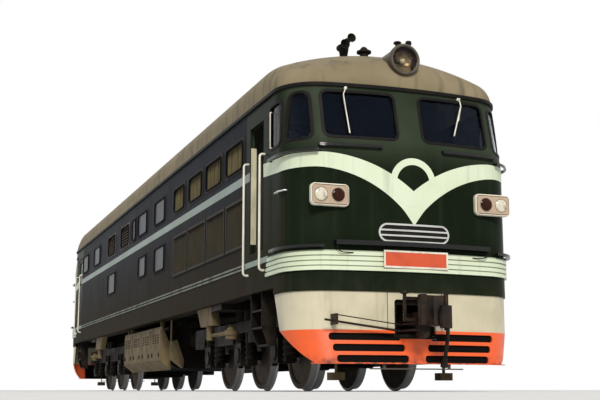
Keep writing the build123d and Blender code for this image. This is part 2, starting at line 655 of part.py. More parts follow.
# Headlights: a drum that runs back into each dome, with a rim round its glass
LIGHT_Z = CROWN_Z - 350
LIGHT_R = 200
LIGHT_RIM_R = 217
LIGHT_GLASS_R = 180
LIGHT_X = 9765
LIGHT_RIM_T = 60
with BuildPart() as headlight:
    with BuildSketch(Plane.XZ):
        with BuildLine():
            Polyline(
                (8700, LIGHT_Z),
                (8700, LIGHT_Z + LIGHT_R),
                (LIGHT_X - LIGHT_RIM_T, LIGHT_Z + LIGHT_R),
                (LIGHT_X - LIGHT_RIM_T, LIGHT_Z + LIGHT_RIM_R),
                (LIGHT_X, LIGHT_Z + LIGHT_RIM_R),
                (LIGHT_X, LIGHT_Z + LIGHT_GLASS_R),
                (LIGHT_X - 40, LIGHT_Z + LIGHT_GLASS_R),
                (LIGHT_X - 120, LIGHT_Z + LIGHT_GLASS_R - 20),
                (LIGHT_X - 180, LIGHT_Z),
                close=True,
            )
        make_face()
    revolve(axis=Axis((0, 0, LIGHT_Z), (1, 0, 0)))
    add(dome_volume(-SEAT), mode=Mode.SUBTRACT)
with BuildPart() as headlights:
    both_ends(headlight.part)
keep("headlights", headlights)

# Lamp glasses: the headlight glass and the marker lamps' lenses
with BuildPart() as lamp_glasses:
    with BuildPart(mode=Mode.PRIVATE) as glasses:
        with BuildSketch(Plane.YZ.offset(LIGHT_X - 28)):
            with Locations((0, LIGHT_Z)):
                Circle(LIGHT_GLASS_R - SEAT)
        extrude(amount=12)
        for name, y in LENSES:
            for side in (-1, 1):
                with BuildSketch(Plane.YZ.offset(LAMP_FACE_X - 40 + SEAT)):
                    with Locations((side * y, LAMP_Z)):
                        Circle(LAMP_R - SEAT)
                extrude(amount=LENS_T)
    both_ends(glasses.part)
keep("lamp_glasses", lamp_glasses)


def horn(x, y, z, size):
    """A trumpet horn that faces forward, on a thin post that reaches down into the bracket."""
    with BuildPart() as trumpet:
        with BuildSketch(Plane.XZ.offset(-y)):
            with BuildLine():
                Polyline((x - 260 * size, z), (x - 260 * size, z + 55 * size), (x - 190 * size, z + 55 * size))
                Line((x - 190 * size, z + 55 * size), (x - 180 * size, z + 18 * size))
                Line((x - 180 * size, z + 18 * size), (x - 70 * size, z + 30 * size))
                Line((x - 70 * size, z + 30 * size), (x, z + 82 * size))
                Line((x, z + 82 * size), (x, z + 72 * size))
                Line((x, z + 72 * size), (x - 75 * size, z))
                Line((x - 75 * size, z), (x - 260 * size, z))
            make_face()
        revolve(axis=Axis((0, y, z), (1, 0, 0)))
        post_x = x - 225 * size
        with Locations((post_x, y, CROWN_Z)):
            Cylinder(22, z - CROWN_Z, align=FROM_BASE)
    return trumpet.part


# Horns: name, mouth's x, y, height of the axis and size, both on one stout bracket that widens upward
HORNS = [("high", 9000, -460, CROWN_Z + 148, 0.8), ("low", 9010, -563, CROWN_Z + 42, 0.86)]
HORN_BASE_X, HORN_BASE_Y, HORN_BASE_TOP, HORN_BASE_R = 8840, -520, CROWN_Z + 65, 80
with BuildPart() as horn_pair:
    with Locations((HORN_BASE_X, HORN_BASE_Y, CROWN_Z - 300)):
        Cone(HORN_BASE_R / 4, HORN_BASE_R, HORN_BASE_TOP - CROWN_Z + 300, align=FROM_BASE)
    add(dome_volume(-SEAT), mode=Mode.SUBTRACT)
    for name, x, y, z, size in HORNS:
        add(horn(x, y, z, size))
with BuildPart() as horns:
    both_ends(horn_pair.part)
keep("horns", horns)

# Roof vents: a mushroom vent beside the horns, and the engine's exhaust stack
VENT_X, VENT_Y, VENT_R, VENT_Z = 8830, -200, 105, CROWN_Z + 25
VENT_CAP_R, VENT_CAP_H = 62, 62
EXHAUST_X, EXHAUST_HALF_X, EXHAUST_HALF_Y, EXHAUST_TOP = -900, 380, 230, CROWN_Z + 55
with BuildPart() as exhaust_stack:
    with BuildSketch(Plane.XY.offset(CROWN_Z - 60)) as stack_plan:
        with Locations((EXHAUST_X, 0)):
            RectangleRounded(2 * EXHAUST_HALF_X, 2 * EXHAUST_HALF_Y, 120)
            RectangleRounded(2 * EXHAUST_HALF_X - 60, 2 * EXHAUST_HALF_Y - 60, 90, mode=Mode.SUBTRACT)
    extrude(amount=EXHAUST_TOP - CROWN_Z + 60)
    add(roof_arch(-SEAT, -SPLIT_X, COOLING_X), mode=Mode.SUBTRACT)
with BuildPart() as roof_vents:
    add(exhaust_stack.part)
    with BuildPart(mode=Mode.PRIVATE) as vent:
        with BuildSketch(Plane.XZ.offset(-VENT_Y)):
            with BuildLine():
                Polyline(
                    (VENT_X, CROWN_Z - 300),
                    (VENT_X + 60, CROWN_Z - 300),
                    (VENT_X + 60, VENT_Z - 26),
                    (VENT_X + VENT_R, VENT_Z - 26),
                    (VENT_X + VENT_R, VENT_Z),
                    (VENT_X + VENT_CAP_R, VENT_Z + 8),
                    (VENT_X + 0.85 * VENT_CAP_R, VENT_Z + 0.6 * VENT_CAP_H),
                    (VENT_X + 0.45 * VENT_CAP_R, VENT_Z + VENT_CAP_H),
                    (VENT_X, VENT_Z + VENT_CAP_H),
                    close=True,
                )
            make_face()
        revolve(axis=Axis((VENT_X, VENT_Y, 0), (0, 0, 1)))
        add(dome_volume(-SEAT), mode=Mode.SUBTRACT)
    both_ends(vent.part)
keep("roof_vents", roof_vents)

# Nose grille: an oval frame with two bars
GRILLE_HALF = 506
GRILLE_Z0, GRILLE_Z1 = 1890, 2135
GRILLE_PROUD = 18
with BuildPart() as nose_grilles:
    with BuildPart(mode=Mode.PRIVATE) as grille:
        height = GRILLE_Z1 - GRILLE_Z0
        add(front_prism(-GRILLE_HALF, GRILLE_HALF, GRILLE_Z0, GRILLE_Z1, 0.499 * height))
        add(
            front_prism(-GRILLE_HALF + 24, GRILLE_HALF - 24, GRILLE_Z0 + 24, GRILLE_Z1 - 24, 0.499 * height - 24),
            mode=Mode.SUBTRACT,
        )
        for part_of_height in (0.36, 0.64):
            z = GRILLE_Z0 + part_of_height * height
            block(9800, 10100, -GRILLE_HALF + 20, GRILLE_HALF - 20, z - 11, z + 11)
        add(cab_volume(-GRILLE_PROUD), mode=Mode.INTERSECT)
        add(cab_seat, mode=Mode.SUBTRACT)
    both_ends(grille.part)
keep("nose_grilles", nose_grilles)

# Bars on each nose: a step across it, ledges at its corners, sill bars under the cab windows and grab bars
LEDGE_HALF, LEDGE_Z, LEDGE_T, LEDGE_OUT = 1100, 1855, 60, 110
CORNER_LEDGE_Z, CORNER_LEDGE_T, CORNER_LEDGE_OUT = 1810, 38, 88
SILL_BAR_Z, SILL_BAR_OUT, SILL_BAR_T = 3055, 75, 32
GRAB_Y0, GRAB_Y1, GRAB_Z, GRAB_OUT, GRAB_T = 440, 1270, 3132, 58, 40
BAR_CHORD = 45


def wrap_bar(z, thick, out, width, back_x, y0, y1, feet):
    """A bar on the left of the nose, held off by an amount, that follows its plan between two y values on feet."""
    with BuildPart() as bar:
        low = z - thick / 2
        extrude(cab_outline(-out, NOSE_X, low), amount=thick)
        extrude(cab_outline(width - out, NOSE_X, low), amount=thick, mode=Mode.SUBTRACT)
        block(back_x, NOSE_X + 200, y0, y1, low, low + thick, mode=Mode.INTERSECT)
        for x, y, half_x, inward in feet:
            block(x - half_x, x + half_x, y - inward, y + thick / 2, low, low + thick)
        add(cab_volume(1 - out), mode=Mode.INTERSECT)
        add(cab_seat, mode=Mode.SUBTRACT)
    return bar.part


# Feet of each bar: x, y, half length along X, reach inward along Y
SILL_FEET = [(8965, 1680, 14, 90), (9400, 1660, 14, 90), (9800, 1340, 14, 90)]
LEDGE_FEET = [(9140, 1700, 15, 110), (9830, 1320, 15, 110)]
GRAB_FEET = [(NOSE_X - 80, GRAB_Y0 + 12, 100, 12), (NOSE_X - 120, GRAB_Y1 - 12, 100, 12)]
with BuildPart() as nose_bars:
    with BuildPart(mode=Mode.PRIVATE) as ledge:
        extrude(cab_outline(-LEDGE_OUT, NOSE_X, LEDGE_Z - LEDGE_T / 2), amount=LEDGE_T)
        block(9000, 10100, -LEDGE_HALF, LEDGE_HALF, LEDGE_Z - LEDGE_T, LEDGE_Z + LEDGE_T, mode=Mode.INTERSECT)
        add(cab_seat, mode=Mode.SUBTRACT)
    both_ends(ledge.part)
    for bar in (
        wrap_bar(CORNER_LEDGE_Z, CORNER_LEDGE_T, CORNER_LEDGE_OUT, BAR_CHORD, 9080, 1250, 2000, LEDGE_FEET),
        wrap_bar(SILL_BAR_Z, SILL_BAR_T, SILL_BAR_OUT, BAR_CHORD - 15, 8950, 1300, 2000, SILL_FEET),
        wrap_bar(GRAB_Z, GRAB_T, GRAB_OUT, BAR_CHORD - 10, 9000, GRAB_Y0, GRAB_Y1, GRAB_FEET),
    ):
        all_corners(bar)
keep("nose_bars", nose_bars)

# Handrails beside the doors
HANDRAIL_X = [("behind the door", 7910), ("before the door", 8650)]
HANDRAIL_Z0, HANDRAIL_Z1 = 1610, 3220
HANDRAIL_OUT, HANDRAIL_R, HANDRAIL_BEND = 75, 16, 45


def handrail(x):
    """An upright round rail on the left side whose two ends bend in to the wall."""
    y = HALF_WIDTH + HANDRAIL_OUT
    bend = HANDRAIL_BEND
    with BuildPart() as bar:
        with Locations((x, y, HANDRAIL_Z0 + bend)):
            Cylinder(HANDRAIL_R, HANDRAIL_Z1 - HANDRAIL_Z0 - 2 * bend, align=FROM_BASE)
        for z, up in ((HANDRAIL_Z0 + bend, -1), (HANDRAIL_Z1 - bend, 1)):
            with BuildSketch(Plane.XY.offset(z)):
                with Locations((x, y)):
                    Circle(HANDRAIL_R)
            revolve(axis=Axis((x, y - bend, z), (up, 0, 0)), revolution_arc=90)
            foot = HANDRAIL_OUT - bend - SEAT
            with Locations(Location((x, y - bend - foot / 2, z + up * bend), (90, 0, 0))):
                Cylinder(HANDRAIL_R, foot)
    return bar.part


with BuildPart() as handrails:
    for name, x in HANDRAIL_X:
        bar = handrail(x)
        all_corners(bar)
keep("door_handrails", handrails)

# Couplers: a knuckle coupler at each end, its shank in the draft pocket, with its lock gear and uncoupling rod
SHANK_HALF, SHANK_HALF_H, SHANK_END_X = 75, 80, 9260
HEAD_DOWN, HEAD_UP = 105, 270
HEAD_BACK, HEAD_LEFT, HEAD_RIGHT = 340, 215, 225
KNUCKLE_HALF_H = 140
LOCK_Y, LOCK_R = -70, 80
LIFTER_OUT = 335
ROD_X, ROD_R = NOSE_X + 65, 14
ROD_OUTER, ROD_INNER = (ROD_X, -1280, 877), (ROD_X, -250, 750)
CHAIN_OUTER, CHAIN_INNER = (ROD_X, -1120, 940), (ROD_X, -250, 830)
ROD_BRACKET_Y, ROD_BRACKET_Z0, ROD_BRACKET_Z1 = -1120, 820, 955


def round_bar(start, end, radius):
    """Adds a straight round bar between two points to the open part."""
    along = Vector(*end) - Vector(*start)
    with BuildSketch(Plane(origin=start, z_dir=along)) as section:
        Circle(radius)
    extrude(section.sketch, amount=along.length)


with BuildPart() as coupler:
    back = POCKET_X0 + POCKET_T + SEAT
    face = COUPLER_X
    reach, height = POCKET_HALF - SEAT, SHANK_HALF_H
    block(back, face - HEAD_BACK + 20, -SHANK_HALF, SHANK_HALF, COUPLER_Z - height, COUPLER_Z + height)
    block(back, SHANK_END_X, -reach, reach, POCKET_Z0 + SEAT, POCKET_Z1 - SEAT)
    with BuildSketch(Plane.XY.offset(COUPLER_Z - HEAD_DOWN)) as head_plan:
        with BuildLine():
            Polyline(
                (face - HEAD_BACK, -SHANK_HALF - 20),
                (face - 220, -150),
                (face - 120, 10 - HEAD_RIGHT),
                (face, -HEAD_RIGHT),
                (face, -150),
                (face - 110, -110),
                (face - 150, 20),
                (face - 110, 150),
                (face - 140, HEAD_LEFT),
                (face - 240, 170),
                (face - HEAD_BACK, SHANK_HALF + 20),
                close=True,
            )
        make_face()
        fillet(head_plan.vertices().sort_by(Axis.X)[:3], 40)
    extrude(amount=HEAD_DOWN + HEAD_UP)
    with BuildPart(mode=Mode.PRIVATE) as knuckle:
        with BuildSketch(Plane.XY.offset(COUPLER_Z - KNUCKLE_HALF_H)) as knuckle_plan:
            with BuildLine():
                Polyline(
                    (face - 135, HEAD_LEFT - 10),
                    (face - 30, HEAD_LEFT),
                    (face, 150),
                    (face, 60),
                    (face - 40, 40),
                    (face - 75, 95),
                    (face - 105, 150),
                    close=True,
                )
            make_face()
            fillet(knuckle_plan.vertices().sort_by(Axis.Y)[-1], 25)
        extrude(amount=2 * KNUCKLE_HALF_H)
    add(knuckle.part)
    with Locations((face - 110, HEAD_LEFT - 45, COUPLER_Z - KNUCKLE_HALF_H - 25)):
        Cylinder(30, KNUCKLE_HALF_H + HEAD_UP + 40, align=FROM_BASE)
    for z0, z1 in ((COUPLER_Z - 50, COUPLER_Z - 10), (COUPLER_Z + 215, COUPLER_Z + 255)):
        block(face - 300, face - 255, -LIFTER_OUT, -SHANK_HALF, z0, z1)
    block(face - 295, face - 260, -LIFTER_OUT, -LIFTER_OUT + 34, COUPLER_Z - 50, COUPLER_Z + 285)
    block(face - 320, face - 250, LOCK_Y - LOCK_R, LOCK_Y + LOCK_R, COUPLER_Z - HEAD_DOWN - 80, COUPLER_Z - HEAD_DOWN)
    with Locations(Location((face - 285, LOCK_Y, COUPLER_Z - HEAD_DOWN - 80), (0, 90, 0))):
        Cylinder(LOCK_R, 70)
    block(ROD_X, face - 250, ROD_INNER[1] - 10, ROD_INNER[1] + 10, ROD_INNER[2] - 12, ROD_INNER[2] + 12)
    block(face - 290, face - 250, ROD_INNER[1] - 10, LOCK_Y, ROD_INNER[2] - 12, ROD_INNER[2] + 12)
    block(ROD_X, face - 270, CHAIN_INNER[1] - 6, CHAIN_INNER[1] + 6, CHAIN_INNER[2] - 6, CHAIN_INNER[2] + 6)
    block(face - 290, face - 270, CHAIN_INNER[1] - 6, -SHANK_HALF, CHAIN_INNER[2] - 6, CHAIN_INNER[2] + 6)
    round_bar(ROD_OUTER, ROD_INNER, ROD_R)
    round_bar(CHAIN_OUTER, CHAIN_INNER, ROD_R / 2)
    with BuildPart(mode=Mode.PRIVATE) as bracket:
        y = ROD_BRACKET_Y
        block(NOSE_X - 300, ROD_X + 12, y - 15, y + 15, ROD_BRACKET_Z0, ROD_BRACKET_Z1)
        add(apron_front_volume, mode=Mode.SUBTRACT)
    add(bracket.part)
with BuildPart() as couplers:
    both_ends(coupler.part)
keep("couplers", couplers)

# Fuel tank under the middle, with a row of battery boxes along each side of it
TANK_X, TANK_HALF, TANK_Z0, TANK_Z1 = 1700, 1310, 440, 1240
BATTERY_X, BATTERY_OUT, BATTERY_Z0 = 1880, 1500, 550
BATTERY_BACK_Z0, BATTERY_BACK_Z1 = 400, 860
with BuildPart() as fuel_tank:
    with BuildSketch(Plane.YZ.offset(-TANK_X)) as tank_section:
        with Locations((0, (TANK_Z0 + TANK_Z1) / 2)):
            Rectangle(2 * TANK_HALF, TANK_Z1 - TANK_Z0)
        fillet(tank_section.vertices().group_by(Axis.Y)[0], 220)
    extrude(amount=2 * TANK_X)
    for x in (-TANK_X + 300, TANK_X - 300):
        block(x - 60, x + 60, -CENTRE_SILL_IN - 80, -CENTRE_SILL_IN - 20, TANK_Z1, FRAME_BOTTOM_Z - SEAT)
        block(x - 60, x + 60, CENTRE_SILL_IN + 20, CENTRE_SILL_IN + 80, TANK_Z1, FRAME_BOTTOM_Z - SEAT)
keep("fuel_tank", fuel_tank)
with BuildPart() as battery_boxes:
    with BuildPart(mode=Mode.PRIVATE) as battery:
        back = TANK_HALF + SEAT
        with BuildSketch(Plane.YZ.offset(-BATTERY_X)):
            with BuildLine():
                Polyline(
                    (back, BATTERY_BACK_Z0),
                    (BATTERY_OUT, BATTERY_Z0),
                    (BATTERY_OUT, TANK_Z1 - 15),
                    (BATTERY_OUT - 15, TANK_Z1),
                    (back, BATTERY_BACK_Z1),
                    close=True,
                )
            make_face()
        extrude(amount=2 * BATTERY_X)
        for i in range(4):
            x = -BATTERY_X + (i + 0.5) * BATTERY_X / 2
            half = 0.225 * BATTERY_X
            block(x - half, x + half, BATTERY_OUT, BATTERY_OUT + 14, BATTERY_Z0 + 30, TANK_Z1 - 60)
        for x in (-TANK_X + 200, TANK_X - 200):
            block(x - 40, x + 40, BATTERY_OUT - 130, BATTERY_OUT - 60, BATTERY_BACK_Z1, SILL_Z - SEAT)
    both_sides(battery.part)
keep("battery_boxes", battery_boxes)

# Engine with its generator, as one block on the floor, and the radiator blocks behind the shutters
ENGINE_X0, ENGINE_X1, ENGINE_HALF, ENGINE_TOP = -4300, 2500, 780, 3500
RADIATOR_X0, RADIATOR_X1, RADIATOR_OUT, RADIATOR_T, RADIATOR_TOP = 3290, 7660, 1500, 180, 3740
with BuildPart() as engine_block:
    block(ENGINE_X0, ENGINE_X1, -ENGINE_HALF, ENGINE_HALF, DECK_Z + SEAT, ENGINE_TOP)
    for side in (-1, 1):
        y0, y1 = side * (RADIATOR_OUT - RADIATOR_T), side * RADIATOR_OUT
        block(RADIATOR_X0, RADIATOR_X1, y0, y1, DECK_Z + SEAT, RADIATOR_TOP)
keep("engine_block", engine_block)

# Steps under each cab door: three treads between two side plates that taper inward to the foot
STEP_X0, STEP_X1, STEP_PLATE_T = 7960, 8460, 14
STEP_TOP = (1400, 1595)
STEP_FOOT = (1374, 1500)
STEPS_Z = [630, 865, 1100]
with BuildPart() as cab_steps:
    with BuildPart(mode=Mode.PRIVATE) as step:
        top_z, foot_z = SILL_Z - SEAT, STEPS_Z[0] - 25
        for x in (STEP_X0, STEP_X1 - STEP_PLATE_T):
            with BuildSketch(Plane.YZ.offset(x)):
                with BuildLine():
                    Polyline(
                        (STEP_TOP[0], top_z),
                        (STEP_FOOT[0], foot_z),
                        (STEP_FOOT[1], foot_z),
                        (STEP_TOP[1], STEPS_Z[1]),
                        (STEP_TOP[1], top_z),
                        close=True,
                    )
                make_face()
            extrude(amount=STEP_PLATE_T)
        for z in STEPS_Z:
            share = min(1, (z - foot_z) / (STEPS_Z[1] - foot_z))
            out = STEP_FOOT[1] + share * (STEP_TOP[1] - STEP_FOOT[1]) - 8
            block(STEP_X0, STEP_X1, STEP_TOP[0] + 5, out, z - 20, z + 5)
    all_corners(step.part)
keep("cab_steps", cab_steps)

# Brackets under the body: the traction brackets with their pins, rods and end caps, a small box, and the signal coils
TRACTION_X, TRACTION_Y0, TRACTION_Y1 = 5375, 1410, 1540
TRACTION_Z = 890
CAP_X, CAP_Y = 6420, 1425
CAP_PROFILE = [(0, 790), (90, 790), (90, 835), (112, 850), (112, 915), (70, 930), (60, 960), (30, 980), (0, 985)]
COIL_X0, COIL_X1, COIL_Y0, COIL_Y1, COIL_Z0, COIL_Z1 = 9060, 9240, 690, 890, 145, 245
BOX_X0, BOX_X1 = 2050, 2230
BOX_SECTION = [(1380, 600), (1380, 930), (1270, 965), (1130, 570), (1150, 430)]
with BuildPart() as underbody_brackets:
    with BuildPart(mode=Mode.PRIVATE) as traction:
        with BuildSketch(Plane.XZ.offset(-TRACTION_Y1)):
            with BuildLine():
                Polyline(
                    (TRACTION_X - 650, SILL_Z - SEAT),
                    (TRACTION_X - 560, 1260),
                    (TRACTION_X - 370, 1040),
                    (TRACTION_X + 370, 1040),
                    (TRACTION_X + 270, 1250),
                    (TRACTION_X + 300, SILL_Z - SEAT),
                    close=True,
                )
            make_face()
        extrude(amount=TRACTION_Y1 - TRACTION_Y0)
        with Locations((TRACTION_X, CAP_Y + 50, 815)):
            Cylinder(62, 240, align=FROM_BASE)
        round_bar((TRACTION_X, CAP_Y + 40, TRACTION_Z), (CAP_X, CAP_Y, TRACTION_Z), 32)
        with BuildSketch(Plane.XZ.offset(-CAP_Y)):
            with BuildLine():
                Polyline([(CAP_X + out, z) for out, z in CAP_PROFILE], close=True)
            make_face()
        revolve(axis=Axis((CAP_X, CAP_Y, 0), (0, 0, 1)))
    with BuildPart(mode=Mode.PRIVATE) as coil:
        block(COIL_X0, COIL_X1, COIL_Y0, COIL_Y1, COIL_Z0, COIL_Z1)
        fillet(coil.edges().filter_by(Axis.Z), 25)
        middle_x, middle_y = (COIL_X0 + COIL_X1) / 2, (COIL_Y0 + COIL_Y1) / 2
        block(middle_x - 30, middle_x + 30, middle_y - 8, middle_y + 8, COIL_Z1, END_BEAM_Z - SEAT)
    with BuildPart(mode=Mode.PRIVATE) as small_box:
        with BuildSketch(Plane.YZ.offset(BOX_X0)):
            with BuildLine():
                Polyline(BOX_SECTION, close=True)
            make_face()
        extrude(amount=BOX_X1 - BOX_X0)
        hanger_y = BOX_SECTION[0][0]
        block(BOX_X0 + 60, BOX_X1 - 60, hanger_y - 22, hanger_y, 880, SILL_Z - SEAT)
    for shape in (traction.part, coil.part, small_box.part):
        all_corners(shape)
keep("underbody_brackets", underbody_brackets)

# Air reservoirs: drums with dished ends, two across the frame between the tank and each bogie
DRUM_R, DRUM_HALF, DRUM_Z = 170, 1000, 1000
DRUMS_X = [("near the tank", 2080), ("near the bogie", 2520)]
with BuildPart() as air_reservoirs:
    for name, x in DRUMS_X:
        with BuildPart(mode=Mode.PRIVATE) as drum:
            with BuildSketch(Plane.XY.offset(DRUM_Z)):
                with BuildLine():
                    Polyline(
                        (x, -DRUM_HALF),
                        (x + 0.7 * DRUM_R, 30 - DRUM_HALF),
                        (x + DRUM_R, 90 - DRUM_HALF),
                        (x + DRUM_R, DRUM_HALF - 90),
                        (x + 0.7 * DRUM_R, DRUM_HALF - 30),
                        (x, DRUM_HALF),
                        close=True,
                    )
                make_face()
            revolve(axis=Axis((x, 0, DRUM_Z), (0, 1, 0)))
            for y in (-1, 1):
                y0, y1 = CENTRE_SILL_IN, CENTRE_SILL_IN + CENTRE_SILL_T
                block(x - 40, x + 40, y * y0, y * y1, DRUM_Z, FRAME_BOTTOM_Z - SEAT)
        both_ends(drum.part)
keep("air_reservoirs", air_reservoirs)

# Cab fittings: a driving desk across each cab and two seats
DESK_X0, DESK_X1, DESK_TOP = 9250, 9760, 2750
SEAT_X, SEAT_Y = 8930, 900
with BuildPart() as cab_fittings:
    with BuildPart(mode=Mode.PRIVATE) as fittings:
        extrude(cab_outline(WALL + 30, NOSE_X, DECK_Z + SEAT), amount=DESK_TOP - DECK_Z - SEAT)
        block(DESK_X0, DESK_X1 + 200, -1300, 1300, DECK_Z, DESK_TOP, mode=Mode.INTERSECT)
        for y in (-SEAT_Y, SEAT_Y):
            block(SEAT_X - 60, SEAT_X + 60, y - 60, y + 60, DECK_Z + SEAT, 2200)
            block(SEAT_X - 220, SEAT_X + 220, y - 230, y + 230, 2200, 2300)
            block(SEAT_X - 260, SEAT_X - 180, y - 230, y + 230, 2280, 2880)
    both_ends(fittings.part)
keep("cab_fittings", cab_fittings)

# Cab doors open inward about their front edge, and the front right one stands open
PANE_X0, PANE_X1 = DOOR_X0 + 120, DOOR_X1 - 120
PANE_Z0, PANE_Z1 = 2950, 3600
with BuildPart() as door_leaf:
    block(
        DOOR_X0 + RUNNING, DOOR_X1 - RUNNING, DOOR_FACE_Y - DOOR_T, DOOR_FACE_Y, DOOR_LOW + RUNNING, DOOR_HIGH - RUNNING
    )
    add(side_prism(PANE_X0, PANE_X1, PANE_Z0, PANE_Z1, 60), mode=Mode.SUBTRACT)
    block(DOOR_X0 + 45, DOOR_X0 + 75, DOOR_FACE_Y - DOOR_T - 40, DOOR_FACE_Y - DOOR_T, 2580, 2720)
    for z in HINGES_Z:
        half = HINGE_H / 2
        with Locations((DOOR_AXIS_X, DOOR_AXIS_Y, z)):
            Cylinder(HINGE_R, HINGE_H)
        block(DOOR_AXIS_X - HINGE_R, DOOR_AXIS_X + 4, DOOR_AXIS_Y, DOOR_FACE_Y - DOOR_T / 2, z - half, z + half)
        with Locations((DOOR_AXIS_X, DOOR_AXIS_Y, z)):
            Cylinder(HINGE_PIN_R + SEAT, HINGE_H, mode=Mode.SUBTRACT)
with BuildPart() as door_pane:
    add(side_prism(PANE_X0 + SEAT, PANE_X1 - SEAT, PANE_Z0 + SEAT, PANE_Z1 - SEAT, 60 - SEAT))
    middle = DOOR_FACE_Y - DOOR_T / 2
    block(DOOR_X0, DOOR_X1, middle - 4, middle + 4, DOOR_LOW, DOOR_HIGH, mode=Mode.INTERSECT)
DOORS = [("front_left", False, 0, 0), ("front_right", True, 0, DOOR_OPEN), ("rear_right", False, 180, 0), ("rear_left", True, 180, 0)]
for name, mirrored, turn, opened in DOORS:
    for label, shape in ((f"door_{name}", door_leaf.part), (f"door_{name}_glass", door_pane.part)):
        side_y = DOOR_AXIS_Y
        if mirrored:
            shape = mirror(shape, about=Plane.XZ, mode=Mode.PRIVATE)
            side_y = -DOOR_AXIS_Y
        hinge = Axis((DOOR_AXIS_X, side_y, 0), (0, 0, 1))
        shape = shape.rotate(hinge, -opened)
        with BuildPart() as door:
            add(shape.rotate(Axis.Z, turn))
        keep(label, door)

# Bogies: frame with bearers and brake shoes, axleboxes with springs, and a traction motor on each axle
SIDE_Y0, SIDE_Y1 = 960, 1150
FRAME_TOP_Z, FRAME_LOW_Z = 1080, 740
NOTCH_HALF, NOTCH_Z = 400, 905
FRAME_HALF = 2830
END_Z0, END_Z1, END_HALF = 760, 1010, 90
TRANSOM_X, TRANSOM_HALF, TRANSOM_Z = AXLE_STEP / 2, 110, 880
BRIDGE_HALF, BRIDGE_Z0, BRIDGE_Z1 = 240, 1125, 1190
PIVOT_GAP = 12
BEARER_X, BEARER_Y, BEARER_R = 200, 1055, 95
SHOE_GAP, SHOE_T, SHOE_HALF_H, SHOE_Y0, SHOE_Y1 = 8, 45, 170, 725, 800
HANGER_T, HANGER_Y0, HANGER_Y1, HANGER_TOP = 40, 745, 780, 960
# Brake shoes: axle number counted from the middle, side of the wheel that the shoe is on
SHOES = [(-1, 1), (0, 1), (1, -1)]
BOX_HALF, BOX_IN, BOX_OUT, BOX_DOWN, BOX_UP = 165, 930, 1195, 160, 190
COVER_R, COVER_OUT = 120, 1215
SPRING_R, SPRING_X, SPRING_Y, SPRING_Z0, SHELF_T = 82, 256, 1055, 470, 60
JOURNAL_R, AXLE_R = 75, 100
MOTOR_HALF_Y, MOTOR_DRUM_R, MOTOR_ARM, MOTOR_LIFT = 500, 255, 430, 40


def on_axles(source):
    """Adds a piece of the middle axle to the open part at each of a bogie's axles."""
    for axle in (-1, 0, 1):
        add(source.moved(Location((axle * AXLE_STEP, 0, 0))))


with BuildPart() as brake_shoe:
    with BuildSketch(Plane.XZ.offset(-SHOE_Y1)):
        with Locations((0, AXLE_Z)):
            Circle(WHEEL_D / 2 + SHOE_GAP + SHOE_T)
            Circle(WHEEL_D / 2 + SHOE_GAP, mode=Mode.SUBTRACT)
        with Locations((WHEEL_D / 2, AXLE_Z)):
            Rectangle(2 * SHOE_HALF_H, 2 * SHOE_HALF_H, mode=Mode.INTERSECT)
    extrude(amount=SHOE_Y1 - SHOE_Y0)
    hanger_x = WHEEL_D / 2 + SHOE_GAP + SHOE_T - 5
    block(hanger_x, hanger_x + HANGER_T, HANGER_Y0, HANGER_Y1, AXLE_Z - 30, HANGER_TOP)
    block(hanger_x, TRANSOM_X - TRANSOM_HALF + 5, HANGER_Y0, HANGER_Y1, HANGER_TOP - 60, HANGER_TOP)
with BuildPart() as bogie_frame:
    with BuildSketch(Plane.XZ.offset(-SIDE_Y1)) as side_outline:
        with Locations((0, (FRAME_LOW_Z + FRAME_TOP_Z) / 2)):
            Rectangle(2 * FRAME_HALF, FRAME_TOP_Z - FRAME_LOW_Z)
        for axle in (-1, 0, 1):
            with Locations((axle * AXLE_STEP, (FRAME_LOW_Z + NOTCH_Z) / 2)):
                Rectangle(2 * NOTCH_HALF, NOTCH_Z - FRAME_LOW_Z, mode=Mode.SUBTRACT)
        fillet(side_outline.vertices().group_by(Axis.Y)[1], 60)
    extrude(amount=SIDE_Y1 - SIDE_Y0)
    add(mirror(bogie_frame.part, about=Plane.XZ, mode=Mode.PRIVATE))
    for x in (END_HALF - FRAME_HALF, FRAME_HALF - END_HALF):
        block(x - END_HALF, x + END_HALF, -SIDE_Y0, SIDE_Y0, END_Z0, END_Z1)
    for x in (-TRANSOM_X, TRANSOM_X):
        block(x - TRANSOM_HALF, x + TRANSOM_HALF, -SIDE_Y0, SIDE_Y0, TRANSOM_Z, FRAME_TOP_Z)
        block(x - TRANSOM_HALF, x + TRANSOM_HALF, -BRIDGE_HALF, BRIDGE_HALF, FRAME_TOP_Z, BRIDGE_Z1)
    block(-TRANSOM_X, TRANSOM_X, -BRIDGE_HALF, BRIDGE_HALF, BRIDGE_Z0, BRIDGE_Z1)
    Cylinder(PIVOT_R + PIVOT_GAP, 2 * CROWN_Z, mode=Mode.SUBTRACT)
    for x in (-BEARER_X, BEARER_X):
        for y in (-BEARER_Y, BEARER_Y):
            with Locations((x, y, FRAME_TOP_Z)):
                Cylinder(BEARER_R, FRAME_BOTTOM_Z - SEAT - FRAME_TOP_Z, align=FROM_BASE)
    for axle, side in SHOES:
        shoe = brake_shoe.part
        if side < 0:
            shoe = mirror(shoe, about=Plane.YZ, mode=Mode.PRIVATE)
        both_sides(shoe.moved(Location((axle * AXLE_STEP, 0, 0))))
